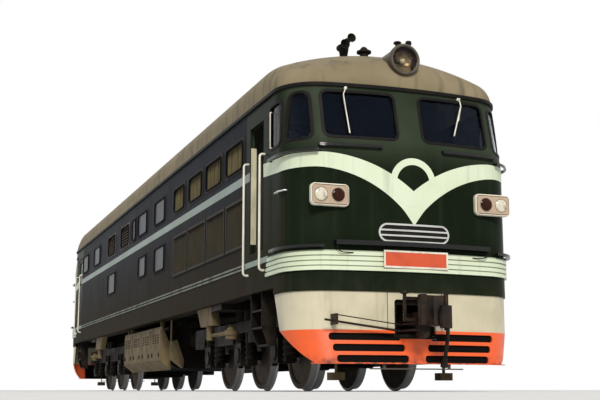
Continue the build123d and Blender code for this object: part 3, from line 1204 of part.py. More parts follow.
with BuildPart() as axlebox:
    block(-BOX_HALF, BOX_HALF, BOX_IN, BOX_OUT, AXLE_Z - BOX_DOWN, AXLE_Z + BOX_UP)
    shelf = SPRING_X + BEARER_R
    block(-shelf, shelf, SPRING_Y - SPRING_R, SPRING_Y + SPRING_R, SPRING_Z0 - SHELF_T, SPRING_Z0)
    with Locations(Location((0, (BOX_OUT + COVER_OUT) / 2 - 10, AXLE_Z), (90, 0, 0))):
        Cylinder(COVER_R, COVER_OUT - BOX_OUT + 20)
    for side in (-1, 1):
        with Locations((side * SPRING_X, SPRING_Y, SPRING_Z0)):
            Cylinder(SPRING_R, NOTCH_Z - SPRING_Z0 - SEAT, align=FROM_BASE)
    with Locations(Location((0, BOX_IN, AXLE_Z), (90, 0, 0))):
        Cylinder(JOURNAL_R + SEAT, 500, mode=Mode.SUBTRACT)
with BuildPart() as axleboxes:
    with BuildPart(mode=Mode.PRIVATE) as row:
        on_axles(axlebox.part)
    both_sides(row.part)
with BuildPart() as motors:
    for axle in (-1, 0, 1):
        x = axle * AXLE_STEP
        toward = 1 if axle < 0 else -1
        drum_x = x + toward * MOTOR_ARM
        nose_x0, nose_x1 = x + toward * 500, x + toward * 860
        with BuildPart(mode=Mode.PRIVATE) as motor:
            with Locations(Location((drum_x, 0, AXLE_Z + MOTOR_LIFT), (90, 0, 0))):
                Cylinder(MOTOR_DRUM_R, 2 * MOTOR_HALF_Y)
            block(x, drum_x, -MOTOR_HALF_Y, MOTOR_HALF_Y, AXLE_Z - 150, AXLE_Z + 160)
            block(nose_x0, nose_x1, -160, 160, AXLE_Z + 180, TRANSOM_Z - SEAT)
            with Locations(Location((x, 0, AXLE_Z), (90, 0, 0))):
                Cylinder(AXLE_R + SEAT, BODY_WIDTH, mode=Mode.SUBTRACT)
        add(motor.part)
for end, turn in (("front", 0), ("rear", 180)):
    for label, source in (("bogie_frame", bogie_frame), ("axleboxes", axleboxes), ("traction_motors", motors)):
        with BuildPart() as placed:
            add(source.part.moved(Location((BOGIE_X, 0, 0))).rotate(Axis.Z, turn))
        keep(f"{label}_{end}", placed)


# Wheel section: radii, and places along the axle measured outward from the wheel's back
HUB_R, RIM_T, DISH, HUB_PROUD = 175, 85, 35, 20
TREAD_DROP, FLANGE_Y0, FLANGE_Y1, FLANGE_ROOT_Y = 6, 12, 24, 40
AXLE_END_Y = 970


def wheelset(x):
    """An axle with its two flanged wheels, as one turned piece."""
    back = WHEELS_BACK_TO_BACK / 2
    face = back + WHEEL_WIDTH
    tread = WHEEL_D / 2
    flange = tread + FLANGE_DEPTH
    with BuildPart() as turned:
        with BuildSketch(Plane.XY):
            with BuildLine():
                Polyline(
                    (0, -AXLE_END_Y),
                    (JOURNAL_R, -AXLE_END_Y),
                    (JOURNAL_R, -face - HUB_PROUD),
                    (HUB_R - 40, -face - HUB_PROUD),
                    (HUB_R, -face + 25),
                    (tread - RIM_T, -face + DISH),
                    (tread - RIM_T + 15, -face),
                    (tread - TREAD_DROP, -face),
                    (tread, -back - FLANGE_ROOT_Y),
                    (flange, -back - FLANGE_Y1),
                    (flange, -back - FLANGE_Y0),
                    (tread + 4, -back),
                    (AXLE_R, -back),
                    (AXLE_R, 0),
                    (0, 0),
                    close=True,
                )
            make_face()
        revolve(axis=Axis.Y)
        add(mirror(turned.part, about=Plane.XZ, mode=Mode.PRIVATE))
    with BuildPart() as placed:
        add(turned.part.moved(Location((x, 0, AXLE_Z))))
    return placed


for number, x in enumerate(
    end * BOGIE_X + end * axle * AXLE_STEP for end in (1, -1) for axle in (1, 0, -1)
):
    keep(f"wheelset_{number + 1}", wheelset(x))

# Brake hose at each end: a free hose of 50 mm that hangs from its cock beside the coupler
HOSE_D = 50
HOSE_POINTS = [
    (9990, 330, 985),
    (10110, 330, 985),
    (10190, 322, 885),
    (10205, 314, 760),
    (10195, 308, 640),
    (10170, 303, 520),
    (10135, 299, 410),
]


def hose(points, diameter):
    """A hose along straight runs joined by the largest tangent arcs that fit."""
    radii = []
    corners = [Vector(*p) for p in points]
    for before, corner, after in zip(corners, corners[1:], corners[2:]):
        run = min((corner - before).length, (after - corner).length)
        turn = (corner - before).get_angle(after - corner)
        radii.append(0.45 * run / math.tan(math.radians(turn) / 2))
    print("hose radii", [round(r) for r in radii])
    with BuildPart() as tube:
        with BuildLine() as path:
            FilletPolyline(*points, radius=radii)
        with BuildSketch(Plane(origin=path.line @ 0, z_dir=path.line % 0)):
            Circle(diameter / 2)
        sweep()
    length = path.wire().length
    share = tube.part.volume / (math.pi * diameter**2 / 4 * length)
    print("hose length", round(length), "volume as a share of section times length", round(share, 5))
    return tube.part


front_hose = hose(HOSE_POINTS, HOSE_D)
for end, turn in (("front", 0), ("rear", 180)):
    with BuildPart() as placed:
        add(front_hose.rotate(Axis.Z, turn))
    keep(f"brake_hose_{end}", placed)

# Brake cocks on the aprons, where the hoses start, and the coupling heads on the hoses' free ends
COCK_R, COCK_FLANGE_R, COCK_FLANGE_T = 34, 60, 52
HANDLE_BACK, HANDLE_T, HANDLE_LENGTH = 40, 18, 105
SLEEVE_LENGTH, SLEEVE_T = 45, 6
GLADHAND_LENGTH = 70
HOSE_START = Vector(*HOSE_POINTS[0])
HOSE_END = Vector(*HOSE_POINTS[-1])
with BuildPart() as brake_cocks:
    with BuildPart(mode=Mode.PRIVATE) as cock:
        x0 = NOSE_X - 60
        start = (x0, HOSE_START.Y, HOSE_START.Z)
        round_bar(start, (HOSE_START.X - SEAT, HOSE_START.Y, HOSE_START.Z), COCK_R)
        round_bar(start, (x0 + COCK_FLANGE_T, HOSE_START.Y, HOSE_START.Z), COCK_FLANGE_R)
        x1 = HOSE_START.X - HANDLE_BACK
        z1 = HOSE_START.Z + COCK_R
        block(x1, x1 + HANDLE_T, HOSE_START.Y - 10, HOSE_START.Y + 10, HOSE_START.Z, z1 + 25)
        block(x1, x1 + HANDLE_T, HOSE_START.Y - 10, HOSE_START.Y + HANDLE_LENGTH, z1 + 10, z1 + 25)
        block(x1, x1 + HANDLE_T, HOSE_START.Y + HANDLE_LENGTH - 15, HOSE_START.Y + HANDLE_LENGTH, z1 - 60, z1 + 25)
        add(apron_front_volume, mode=Mode.SUBTRACT)
    both_ends(cock.part)
keep("brake_cocks", brake_cocks)
with BuildPart() as hose_couplings:
    with BuildPart(mode=Mode.PRIVATE) as gladhand:
        along = (HOSE_END - Vector(*HOSE_POINTS[-2])).normalized()
        with BuildSketch(Plane(origin=HOSE_END + along * SEAT, z_dir=along)):
            Circle(HOSE_D / 2 + SLEEVE_T)
        extrude(amount=SLEEVE_LENGTH)
        with BuildSketch(Plane(origin=HOSE_END + along * SLEEVE_LENGTH, z_dir=along)):
            RectangleRounded(62, 78, 12)
        extrude(amount=GLADHAND_LENGTH)
    both_ends(gladhand.part)
keep("hose_couplings", hose_couplings)

for name, piece in pieces.items():
    piece.part.label = name
    export_step(piece.part, f"parts/{name}.step")
print(len(pieces), "pieces")
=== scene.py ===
# %% [markdown]
# This is a mainline diesel locomotive with a rounded cab at each end, seen from rail level a little to the
# right of its front coupler. The frame already holds every part with a real shape and size. What is left to
# make here is its dress: paint, glass, rubber and grime, and the thin pieces that would be a burden in the
# solids, such as painted stripes, wipers, coil springs and seams.

# %% Load the locomotive
import json
import math

import bpy
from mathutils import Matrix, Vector


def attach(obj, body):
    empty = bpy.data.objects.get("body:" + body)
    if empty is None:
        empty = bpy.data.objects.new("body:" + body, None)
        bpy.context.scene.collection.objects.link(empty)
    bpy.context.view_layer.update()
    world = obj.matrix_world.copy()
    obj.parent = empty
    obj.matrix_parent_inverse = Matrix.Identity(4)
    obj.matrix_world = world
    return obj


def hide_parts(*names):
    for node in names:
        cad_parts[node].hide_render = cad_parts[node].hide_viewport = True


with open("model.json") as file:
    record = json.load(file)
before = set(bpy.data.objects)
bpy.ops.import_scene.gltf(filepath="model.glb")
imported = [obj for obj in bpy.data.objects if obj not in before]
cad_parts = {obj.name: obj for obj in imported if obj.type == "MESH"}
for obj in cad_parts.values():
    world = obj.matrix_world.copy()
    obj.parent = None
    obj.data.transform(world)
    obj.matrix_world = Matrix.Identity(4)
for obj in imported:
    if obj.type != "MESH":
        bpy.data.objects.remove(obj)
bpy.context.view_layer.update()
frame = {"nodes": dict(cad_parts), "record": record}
record = frame["record"]

# %% [markdown]
# The photograph was taken from rail level, looking up, so the nose leans over the viewer and the roof line
# falls away. A camera was fitted to known lengths: the bogie centres, the body width and the height of the
# windows. Its place and turn are written here as plain numbers, and its lens follows from the fitted focal
# length in picture points.

# %% Camera where the photographer stood
photo_width = 600
eye = Vector((22.164, -6.035, 0.02))
turn, tilt = 0.34945, 0.17808
focal_points = 1054.9
look = Vector((-math.cos(turn) * math.cos(tilt), math.sin(turn) * math.cos(tilt), math.sin(tilt)))
camera = bpy.data.objects.new("photo_camera", bpy.data.cameras.new("photo_camera"))
camera.data.sensor_width = 36
camera.data.lens = camera.data.sensor_width * focal_points / photo_width
camera.data.clip_end = 300
camera.location = eye
camera.rotation_euler = look.to_track_quat("-Z", "Y").to_euler()
scene = bpy.context.scene
scene.collection.objects.link(camera)
scene.camera = camera
scene.view_settings.view_transform = "Standard"
print("lens", round(camera.data.lens, 1), "mm")

# %% [markdown]
# The day was dry with a low warm sun ahead of the locomotive, so the nose is brighter than the long side.
# One wide soft sun stands for it, and a pale world fills the shade. The world shows white behind the
# locomotive and in what it reflects, but lights it at a lower level, so that colours come out as they are
# written.

# %% Light and backdrop
world = bpy.data.worlds.new("pale_sky")
scene.world = world
world.use_nodes = True
sky_nodes, sky_links = world.node_tree.nodes, world.node_tree.links
sky_light = sky_nodes["Background"]
sky_light.inputs["Color"].default_value = (0.80, 0.86, 0.95, 1)
sky_light.inputs["Strength"].default_value = 0.5
sky_seen = sky_nodes.new("ShaderNodeBackground")
sky_seen.inputs["Color"].default_value = (1, 1, 1, 1)
sky_seen.inputs["Strength"].default_value = 1.0
ray = sky_nodes.new("ShaderNodeLightPath")
seen = ray.outputs["Is Camera Ray"]
for kind in ("Is Glossy Ray", "Is Transmission Ray"):
    either = sky_nodes.new("ShaderNodeMath")
    either.operation = "MAXIMUM"
    sky_links.new(seen, either.inputs[0])
    sky_links.new(ray.outputs[kind], either.inputs[1])
    seen = either.outputs[0]
sky_mix = sky_nodes.new("ShaderNodeMixShader")
sky_links.new(seen, sky_mix.inputs[0])
sky_links.new(sky_light.outputs[0], sky_mix.inputs[1])
sky_links.new(sky_seen.outputs[0], sky_mix.inputs[2])
sky_links.new(sky_mix.outputs[0], sky_nodes["World Output"].inputs[0])

sun = bpy.data.objects.new("low_sun", bpy.data.lights.new("low_sun", "SUN"))
sun.data.energy = 2.9
sun.data.angle = math.radians(14)
sun.data.color = (1.0, 0.94, 0.84)
sun.rotation_euler = Vector((-0.80, 0.22, -0.50)).to_track_quat("-Z", "Y").to_euler()
scene.collection.objects.link(sun)
print("sun", sun.data.energy, "sky", sky_light.inputs["Strength"].default_value)

# %% [markdown]
# The floor is a plain pale sheet a hair under the wheels. It carries the shadow and nothing else.

# %% Floor
floor_half, floor_z = 150, -0.002
floor_corners = [(x * floor_half, y * floor_half, floor_z) for x, y in ((-1, -1), (1, -1), (1, 1), (-1, 1))]
floor_mesh = bpy.data.meshes.new("floor")
floor_mesh.from_pydata(floor_corners, [], [(0, 1, 2, 3)])
floor = bpy.data.objects.new("floor", floor_mesh)
scene.collection.objects.link(floor)
floor_paint = bpy.data.materials.new("pale_floor")
floor_paint.use_nodes = True
floor_shader = floor_paint.node_tree.nodes["Principled BSDF"]
floor_shader.inputs["Base Color"].default_value = (0.82, 0.81, 0.79, 1)
floor_shader.inputs["Roughness"].default_value = 0.9
floor_mesh.materials.append(floor_paint)
print("floor", 2 * floor_half, "m wide")

# %% [markdown]
# Every finish on the locomotive is a colour that other colours lie on in patches: faded paint, rain
# streaks, brake dust, soot. A small class keeps the nodes of one finish and offers those few steps. All
# patterns are laid out in the locomotive's own metres, so a streak is as long on a door as on the wall
# beside it.

# %% A finish and the steps it is made of
finishes = {}


class Finish:
    """The nodes of one paint, metal, rubber or glass."""

    def __init__(self, name, colour, roughness, metallic=0.0):
        self.name = name
        self.material = bpy.data.materials.new(name)
        self.material.use_nodes = True
        self.tree = self.material.node_tree
        self.shader = self.tree.nodes["Principled BSDF"]
        self.shader.inputs["Metallic"].default_value = metallic
        self.shader.inputs["Base Color"].default_value = (*colour, 1)
        self.shader.inputs["Roughness"].default_value = roughness
        self.place = self.tree.nodes.new("ShaderNodeTexCoord").outputs["Object"]
        split = self.tree.nodes.new("ShaderNodeSeparateXYZ")
        self.tree.links.new(self.place, split.inputs[0])
        self.x, self.y, self.z = split.outputs
        self.colour = None
        self.rough = None
        self.base = colour
        self.base_rough = roughness

    def step(self, operation, *values):
        """One step of arithmetic on sockets and numbers."""
        node = self.tree.nodes.new("ShaderNodeMath")
        node.operation = operation
        for socket, value in zip(node.inputs, values):
            if isinstance(value, (int, float)):
                socket.default_value = value
            else:
                self.tree.links.new(value, socket)
        return node.outputs[0]

    def both(self, one, other):
        """The share where two shares meet."""
        return self.step("MULTIPLY", one, other)

    def distance(self, value, middle):
        """How far a value lies from a middle, to either side."""
        return self.step("ABSOLUTE", self.step("SUBTRACT", value, middle))

    def cloud(self, scale, stretch=(1, 1, 1), detail=5):
        """Soft patches, this many to the metre, shrunk along each axis by stretch."""
        shrink = self.tree.nodes.new("ShaderNodeMapping")
        shrink.inputs["Scale"].default_value = stretch
        self.tree.links.new(self.place, shrink.inputs["Vector"])
        noise = self.tree.nodes.new("ShaderNodeTexNoise")
        noise.inputs["Scale"].default_value = scale
        noise.inputs["Detail"].default_value = detail
        self.tree.links.new(shrink.outputs[0], noise.inputs["Vector"])
        return noise.outputs[0]

    def ramp(self, value, low, high, start=0.0, end=1.0):
        """Takes a value from start at low to end at high, and holds it beyond."""
        node = self.tree.nodes.new("ShaderNodeMapRange")
        for name, number in (("From Min", low), ("From Max", high), ("To Min", start), ("To Max", end)):
            node.inputs[name].default_value = number
        self.tree.links.new(value, node.inputs["Value"])
        return node.outputs[0]

    def patches(self, scale, low, high, start=0.0, end=1.0, stretch=(1, 1, 1), detail=5):
        """A cloud, taken from start at low to end at high."""
        return self.ramp(self.cloud(scale, stretch, detail), low, high, start, end)

    def lay(self, colour, where, rough=None):
        """Lays a colour, and its roughness, over what is there."""
        node = self.tree.nodes.new("ShaderNodeMix")
        node.data_type = "RGBA"
        self.tree.links.new(where, node.inputs[0])
        if self.colour is None:
            node.inputs[6].default_value = (*self.base, 1)
        else:
            self.tree.links.new(self.colour, node.inputs[6])
        node.inputs[7].default_value = (*colour, 1)
        self.colour = node.outputs[2]
        if rough is not None:
            blend = self.tree.nodes.new("ShaderNodeMix")
            self.tree.links.new(where, blend.inputs[0])
            if self.rough is None:
                blend.inputs[2].default_value = self.base_rough
            else:
                self.tree.links.new(self.rough, blend.inputs[2])
            blend.inputs[3].default_value = rough
            self.rough = blend.outputs[0]
        return self

    def relief(self, height, depth, strength=0.5):
        """Raises and sinks the surface by a height from 0 to 1, times a depth in metres."""
        node = self.tree.nodes.new("ShaderNodeBump")
        node.inputs["Strength"].default_value = strength
        node.inputs["Distance"].default_value = depth
        self.tree.links.new(height, node.inputs["Height"])
        self.tree.links.new(node.outputs[0], self.shader.inputs["Normal"])
        return self

    def give(self, socket, value):
        """Sets one of the shader's own sockets."""
        self.shader.inputs[socket].default_value = value
        return self

    def done(self):
        """Joins the colour and roughness to the shader, and files the finish under its name."""
        if self.colour is not None:
            self.tree.links.new(self.colour, self.shader.inputs["Base Color"])
        if self.rough is not None:
            self.tree.links.new(self.rough, self.shader.inputs["Roughness"])
        finishes[self.name] = self.material
        print("finish", self.name)


def shaded(colour, share):
    """A colour made darker or lighter by a share."""
    return tuple(share * part for part in colour)


print("steps of a finish defined")

# %% [markdown]
# The body is a deep bottle green gloss, kept clean on the nose. Above the stripe, where the front leans back
# to the sun and the sky, it is painted paler in patches, as painted sunlight and sheen that fade out towards
# the sides. Real paint like this shades from near black to a greyer green, and rain leaves thin upright
# streaks. Three clouds do that: a wide one for fading, one drawn out upright for streaks, and a fine one for
# dust along the foot. Where the cab turns into its side, brown brake dust climbs up to the sills.

# %% Body paint
def green_paint(name, colour, faded, roughness, gloss):
    """Green gloss with fading, thin rain streaks and slightly wavy sheets."""
    paint = Finish(name, colour, roughness)
    paint.lay(faded, paint.patches(0.9, 0.42, 0.68, detail=7), roughness + 0.08)
    streaks = paint.patches(7, 0.52, 0.78, 0, 0.3, (1, 1, 0.07), 3)
    paint.lay(shaded(faded, 2.2), streaks, 0.5)
    paint.give("Specular IOR Level", gloss)
    return paint.relief(paint.cloud(1.7, detail=2), 0.02, 0.12)


def brake_dust(paint, least, most):
    """The share of brake dust: none above the sills, full at the foot, and in patches between two shares."""
    sill_z, wall_foot_z = 3.1, 1.5
    patches = paint.patches(2.5, 0.3, 0.7, least, most, (1, 1, 0.5), 7)
    return paint.both(paint.ramp(paint.z, sill_z, wall_foot_z), patches)


body = green_paint("body_green", (0.0068, 0.0112, 0.0058), (0.0112, 0.0172, 0.0092), 0.26, 0.015)
stripe_z, lean_z = 2.85, 3.25
front_y, side_y = 1.54, 1.61
outward = body.step("ABSOLUTE", body.y)
# Painted sunlight and sheen: the green is paler above the stripe, most on the front, where the nose leans
# back to the sun.
above = body.both(body.ramp(body.z, stripe_z, lean_z), body.patches(1.1, 0.3, 0.6, 0.45, 0.9))
above = body.both(above, body.ramp(outward, front_y, side_y, 1, 0.12))
body.lay((0.038, 0.050, 0.033), above, 0.36)
dust_top_z, dust_full_z, cab_side_y = 1.55, 1.28, 1.60
foot_dust = body.both(body.ramp(body.z, dust_top_z, dust_full_z), body.patches(5, 0.3, 0.8, 0.05, 0.3))
body.lay((0.050, 0.044, 0.030), foot_dust, 0.7)
on_side = body.step("GREATER_THAN", outward, cab_side_y)
body.lay((0.026, 0.021, 0.012), body.both(on_side, brake_dust(body, 0.4, 0.9)), 0.7)
body.done()

# %% [markdown]
# The long walls are the same green, but duller, and painted darker and blue grey: painted shade of the
# long side, with a painted sheen of the sky. Brake dust, as they are seldom washed, turns them brown from
# the foot up to the sill, and the strip along the foot is painted grey instead of cream, as painted shade.
# The strip stands 12 mm proud of the wall, so a mask of how far out a point lies paints it and nothing else.

# %% Walls
# Painted shade and sky sheen: a darker, blue grey copy of the body green for the long walls.
wall = green_paint("wall_green", (0.011, 0.013, 0.018), (0.018, 0.020, 0.026), 0.42, 0.012)
wall.lay((0.034, 0.026, 0.014), brake_dust(wall, 0.5, 1), 0.7)
wall.lay((0.085, 0.070, 0.045), wall.patches(9, 0.6, 0.8, 0, 0.35, (1, 1, 0.12), 5), 0.8)
strip_z, strip_half, strip_y = 1.75, 0.0415, 1.6275
near_strip = wall.step("LESS_THAN", wall.distance(wall.z, strip_z), strip_half)
on_strip = wall.both(wall.step("GREATER_THAN", wall.step("ABSOLUTE", wall.y), strip_y), near_strip)
# Painted shade: the cream strip on the wall is painted grey.
wall.lay((0.20, 0.22, 0.185), on_strip, 0.5)
strip_dirt = wall.both(on_strip, wall.patches(6, 0.46, 0.68, 0, 0.7, (1, 1, 0.4), 7))
wall.lay((0.075, 0.066, 0.046), strip_dirt, 0.7)
wall.done()

# %% [markdown]
# The stripes, the roundel and the ribbed band are a pale green cream. It is the same enamel as the body's,
# so it gets the same streaks, only darker than the paint here, and a soft yellowing. The band's grooves are
# painted darker: a saw wave on the height marks the upper edge of each of its four ribs.

# %% Cream stripes and band
def cream_paint(name, colour=(0.62, 0.70, 0.54)):
    """Cream enamel, yellowed in patches and streaked."""
    paint = Finish(name, colour, 0.38)
    yellowed = tuple(part * share for part, share in zip(colour, (0.88, 0.86, 0.78)))
    paint.lay(yellowed, paint.patches(1.6, 0.4, 0.72, 0, 0.8, detail=7), 0.45)
    paint.lay(shaded(colour, 0.4), paint.patches(9, 0.56, 0.8, 0, 0.4, (1, 1, 0.08), 3), 0.6)
    return paint.give("Specular IOR Level", 0.15)


stripe = cream_paint("stripe_cream")
band_low, band_middle, band_half, rib_pitch = 1.510, 1.6375, 0.135, 0.06375
up_band = stripe.step("DIVIDE", stripe.step("SUBTRACT", stripe.z, band_low), rib_pitch)
on_band = stripe.step("LESS_THAN", stripe.distance(stripe.z, band_middle), band_half)
groove = stripe.both(stripe.ramp(stripe.step("FRACT", up_band), 0.72, 0.86, 0, 0.55), on_band)
stripe.lay((0.10, 0.13, 0.10), groove, 0.7)
stripe.relief(stripe.cloud(14), 0.004, 0.15).done()
# Painted shade: the stripes of the long sides are this cream made much darker.
cream_paint("wall_stripe", (0.245, 0.30, 0.275)).done()

# %% [markdown]
# The roof was grey once. Soot from the stack, dust and rain have turned it a khaki brown that is darkest
# along its top and streaked down its shoulders. It is quite matt, and its sheets are slightly uneven.

# %% Roof
roof = Finish("roof_grey", (0.190, 0.155, 0.092), 0.62)
roof.lay((0.260, 0.215, 0.135), roof.patches(1.3, 0.4, 0.7, detail=8), 0.7)
roof.lay((0.055, 0.047, 0.036), roof.patches(5, 0.52, 0.75, 0, 0.7, (1, 1, 0.15), 4), 0.75)
soot_from_z, soot_full_z = 4.60, 4.82
soot = roof.both(roof.ramp(roof.z, soot_from_z, soot_full_z), roof.patches(0.8, 0.3, 0.7, 0.2, 0.8))
roof.lay((0.035, 0.032, 0.028), soot, 0.85)
roof.give("Specular IOR Level", 0.15).relief(roof.cloud(3.5, detail=4), 0.02, 0.25).done()

# %% [markdown]
# The underframe, the bogies and the tank are black paint under years of brake dust and oil. The dust lies
# on it in rusty brown patches and specks; oil keeps other patches dark and wet.

# %% Black underneath
def black_paint(name, colour=(0.007, 0.006, 0.005), dust=(0.028, 0.021, 0.014), dust_share=0.7):
    """Black paint under brown dust, fine rust and dark oil."""
    paint = Finish(name, colour, 0.5)
    paint.lay(dust, paint.patches(4, 0.42, 0.72, 0, dust_share, detail=8), 0.85)
    paint.lay((0.052, 0.040, 0.027), paint.patches(23, 0.58, 0.8, 0, 0.4, detail=3), 0.9)
    paint.lay((0.004, 0.003, 0.003), paint.patches(2.2, 0.55, 0.70, 0, 0.8, (1, 1, 0.4), 4), 0.35)
    return paint.give("Specular IOR Level", 0.07).relief(paint.cloud(38, detail=3), 0.003, 0.35)


black_paint("underframe_black").done()
black_paint("motor_black", (0.010, 0.009, 0.009), dust_share=0.5).done()
black_paint("trim_black", (0.008, 0.008, 0.008), (0.030, 0.026, 0.022), 0.35).done()

# %% [markdown]
# The coupler and its gear are bare castings, brown with thin rust, darker where hands and oil have been.

# %% Cast iron of the couplers
iron = Finish("coupler_iron", (0.014, 0.010, 0.008), 0.42, 0.35)
iron.lay((0.042, 0.022, 0.012), iron.patches(11, 0.45, 0.7, 0, 0.8, detail=8), 0.8)
iron.lay((0.007, 0.006, 0.005), iron.patches(5, 0.5, 0.7, 0, 0.8), 0.3)
iron.give("Specular IOR Level", 0.2).relief(iron.cloud(60, detail=4), 0.004, 0.6).done()

# %% [markdown]
# A wheel is bright only where it runs on the rail. The bright ring is found by the distance from the
# nearest axle. The axles stand 1.8 m apart about bogie centres 6 m out, so one formula serves all six
# wheelsets. It turns with the wheel, because the pattern is laid out in each wheelset's own metres. Oil
# keeps the middle of the wheel dark.

# %% Wheels
wheel = Finish("wheel_steel", (0.055, 0.043, 0.034), 0.75, 0.2)
bogie_x, axle_pitch, axle_z = 6.0, 1.8, 0.553
from_bogie = wheel.step("SUBTRACT", wheel.step("ABSOLUTE", wheel.x), bogie_x - axle_pitch / 2)
along = wheel.step("MODULO", wheel.step("ADD", from_bogie, 2 * axle_pitch), axle_pitch)
along = wheel.step("SUBTRACT", along, axle_pitch / 2)
up = wheel.step("SUBTRACT", wheel.z, axle_z)
radius = wheel.step("SQRT", wheel.step("ADD", wheel.step("POWER", along, 2.0), wheel.step("POWER", up, 2.0)))
wheel.lay((0.11, 0.085, 0.06), wheel.patches(9, 0.4, 0.7, 0, 0.9, detail=8), 0.85)
oil_out, oil_in = 0.20, 0.12
wheel.lay((0.017, 0.015, 0.013), wheel.ramp(radius, oil_out, oil_in, 0, 0.9), 0.4)
tread_from, tread_full, tread_outside_y = 0.512, 0.518, 0.8085
inside = wheel.step("LESS_THAN", wheel.step("ABSOLUTE", wheel.y), tread_outside_y)
wheel.lay((0.46, 0.45, 0.43), wheel.both(wheel.ramp(radius, tread_from, tread_full), inside), 0.28)
wheel.give("Specular IOR Level", 0.15).relief(wheel.cloud(45), 0.002, 0.3).done()

# %% [markdown]
# The apron is painted in two colours over one plate: a light grey cream above the knee and a strong orange
# red below it. A mask of the height draws the line between them. The red is faded in patches, dirt climbs
# up from the foot, and the very edge is bare and brown.

# %% Apron paint
apron = Finish("apron_grey", (0.55, 0.505, 0.365), 0.42)
apron.lay((0.43, 0.395, 0.28), apron.patches(2.2, 0.42, 0.7, 0, 0.85, detail=8), 0.5)
apron.lay((0.25, 0.22, 0.16), apron.patches(9, 0.58, 0.8, 0, 0.5, (1, 1, 0.15), 5), 0.7)
red_top_z, dirt_top_z, dirt_full_z, edge_z = 0.766, 0.47, 0.33, 0.3385
below_knee = apron.step("LESS_THAN", apron.z, red_top_z)
apron.lay((0.76, 0.102, 0.016), below_knee, 0.36)
faded = apron.both(apron.patches(4, 0.45, 0.72, 0, 0.6, detail=7), below_knee)
apron.lay((0.58, 0.086, 0.022), faded, 0.5)
foot_dirt = apron.both(apron.ramp(apron.z, dirt_top_z, dirt_full_z), apron.patches(12, 0.4, 0.66, detail=6))
apron.lay((0.045, 0.034, 0.026), foot_dirt, 0.85)
apron.lay((0.050, 0.042, 0.032), apron.step("LESS_THAN", apron.z, edge_z), 0.6)
apron.relief(apron.cloud(3, detail=3), 0.015, 0.2).done()

# %% [markdown]
# Small painted things: white handrails, the grey battery boxes and brackets, brown louvres, red cocks, the
# khaki drums of the headlights, the cream of the jambs, the cream of the cab inside, which is painted near
# black as painted shade, the lamps' bezels and the black gloss of the nose bars. One helper gives each its
# fading and its dirt. A list names the colour, the colour of the dirt, the roughness and, where they differ,
# the share and the grain of the dirt.

# %% Small painted things
def plain_paint(name, colour, dirt, roughness=0.42, dirt_share=0.6, grain=10):
    """A paint that is paler in patches and dirty in streaks."""
    paint = Finish(name, colour, roughness)
    paint.lay(shaded(colour, 0.78), paint.patches(2.5, 0.4, 0.7, detail=6), roughness + 0.1)
    paint.lay(dirt, paint.patches(grain, 0.5, 0.76, 0, dirt_share, (1, 1, 0.3), 7), 0.8)
    return paint.relief(paint.cloud(30, detail=3), 0.002, 0.2)


plain_paints = {
    "rail_white": ((0.74, 0.72, 0.62), (0.26, 0.22, 0.16), 0.32, 0.4, 16),
    "louvre_brown": ((0.070, 0.050, 0.036), (0.14, 0.11, 0.08), 0.6),
    "cock_red": ((0.34, 0.025, 0.014), (0.07, 0.03, 0.02), 0.4),
    # Painted shade: the cream of the cab inside is painted near black, as the cab lies in shade.
    "interior_cream": ((0.040, 0.042, 0.036), (0.026, 0.024, 0.018), 0.6, 0.3),
    "drum_khaki": ((0.058, 0.045, 0.026), (0.022, 0.016, 0.010), 0.45, 0.8),
    "jamb_cream": ((0.52, 0.49, 0.35), (0.20, 0.17, 0.11), 0.5),
    "engine_green": ((0.07, 0.10, 0.085), (0.03, 0.027, 0.02), 0.5),
    "lamp_bezel": ((0.30, 0.25, 0.18), (0.08, 0.05, 0.03), 0.35),
}
for name, tones in plain_paints.items():
    plain_paint(name, *tones).done()
battery_paint = plain_paint("box_grey", (0.150, 0.114, 0.062), (0.045, 0.032, 0.018), 0.6, 0.85)
battery_paint.give("Specular IOR Level", 0.12).done()
bar_gloss = plain_paint("bar_black", (0.005, 0.005, 0.005), (0.014, 0.012, 0.010), 0.10, 0.3)
bar_gloss.give("Specular IOR Level", 0.3).done()

# %% [markdown]
# A marker lamp box is cream outside. Its face is a browner cream within a thin dark rim, and the narrow
# base that joins it to the nose is green like the nose. All three are masks of one finish: how far forward
# a point lies tells the face from the base, and how far it lies from the middle of the face tells the rim.

# %% Lamp boxes
lamp = plain_paint("lamp_cream", (0.80, 0.76, 0.62), (0.34, 0.27, 0.19), 0.35, 0.35)
lamp_y, lamp_z, lamp_longer = 1.1725, 2.46, 0.1175
lamp_face_x, lamp_base_x = 9.9492, 9.8875
rim_out, rim_in = 0.129, 0.117
forward = lamp.step("ABSOLUTE", lamp.x)
on_face = lamp.step("GREATER_THAN", forward, lamp_face_x)
aside = lamp.distance(lamp.step("ABSOLUTE", lamp.y), lamp_y)
from_middle = lamp.step("MAXIMUM", lamp.distance(lamp.z, lamp_z), lamp.step("SUBTRACT", aside, lamp_longer))
for colour, reach in (((0.085, 0.050, 0.032), rim_out), ((0.50, 0.37, 0.27), rim_in)):
    lamp.lay(colour, lamp.both(on_face, lamp.step("LESS_THAN", from_middle, reach)), 0.5)
lamp.lay((0.010, 0.021, 0.014), lamp.step("LESS_THAN", forward, lamp_base_x), 0.3)
lamp.done()

# %% [markdown]
# The radiator shutters are olive, with painted shade in the gaps between their upright blades. The lower row
# is far darker, and so are the frames round the upper ones. A saw wave along the wall finds the gaps, as the
# blades stand 45 mm apart.

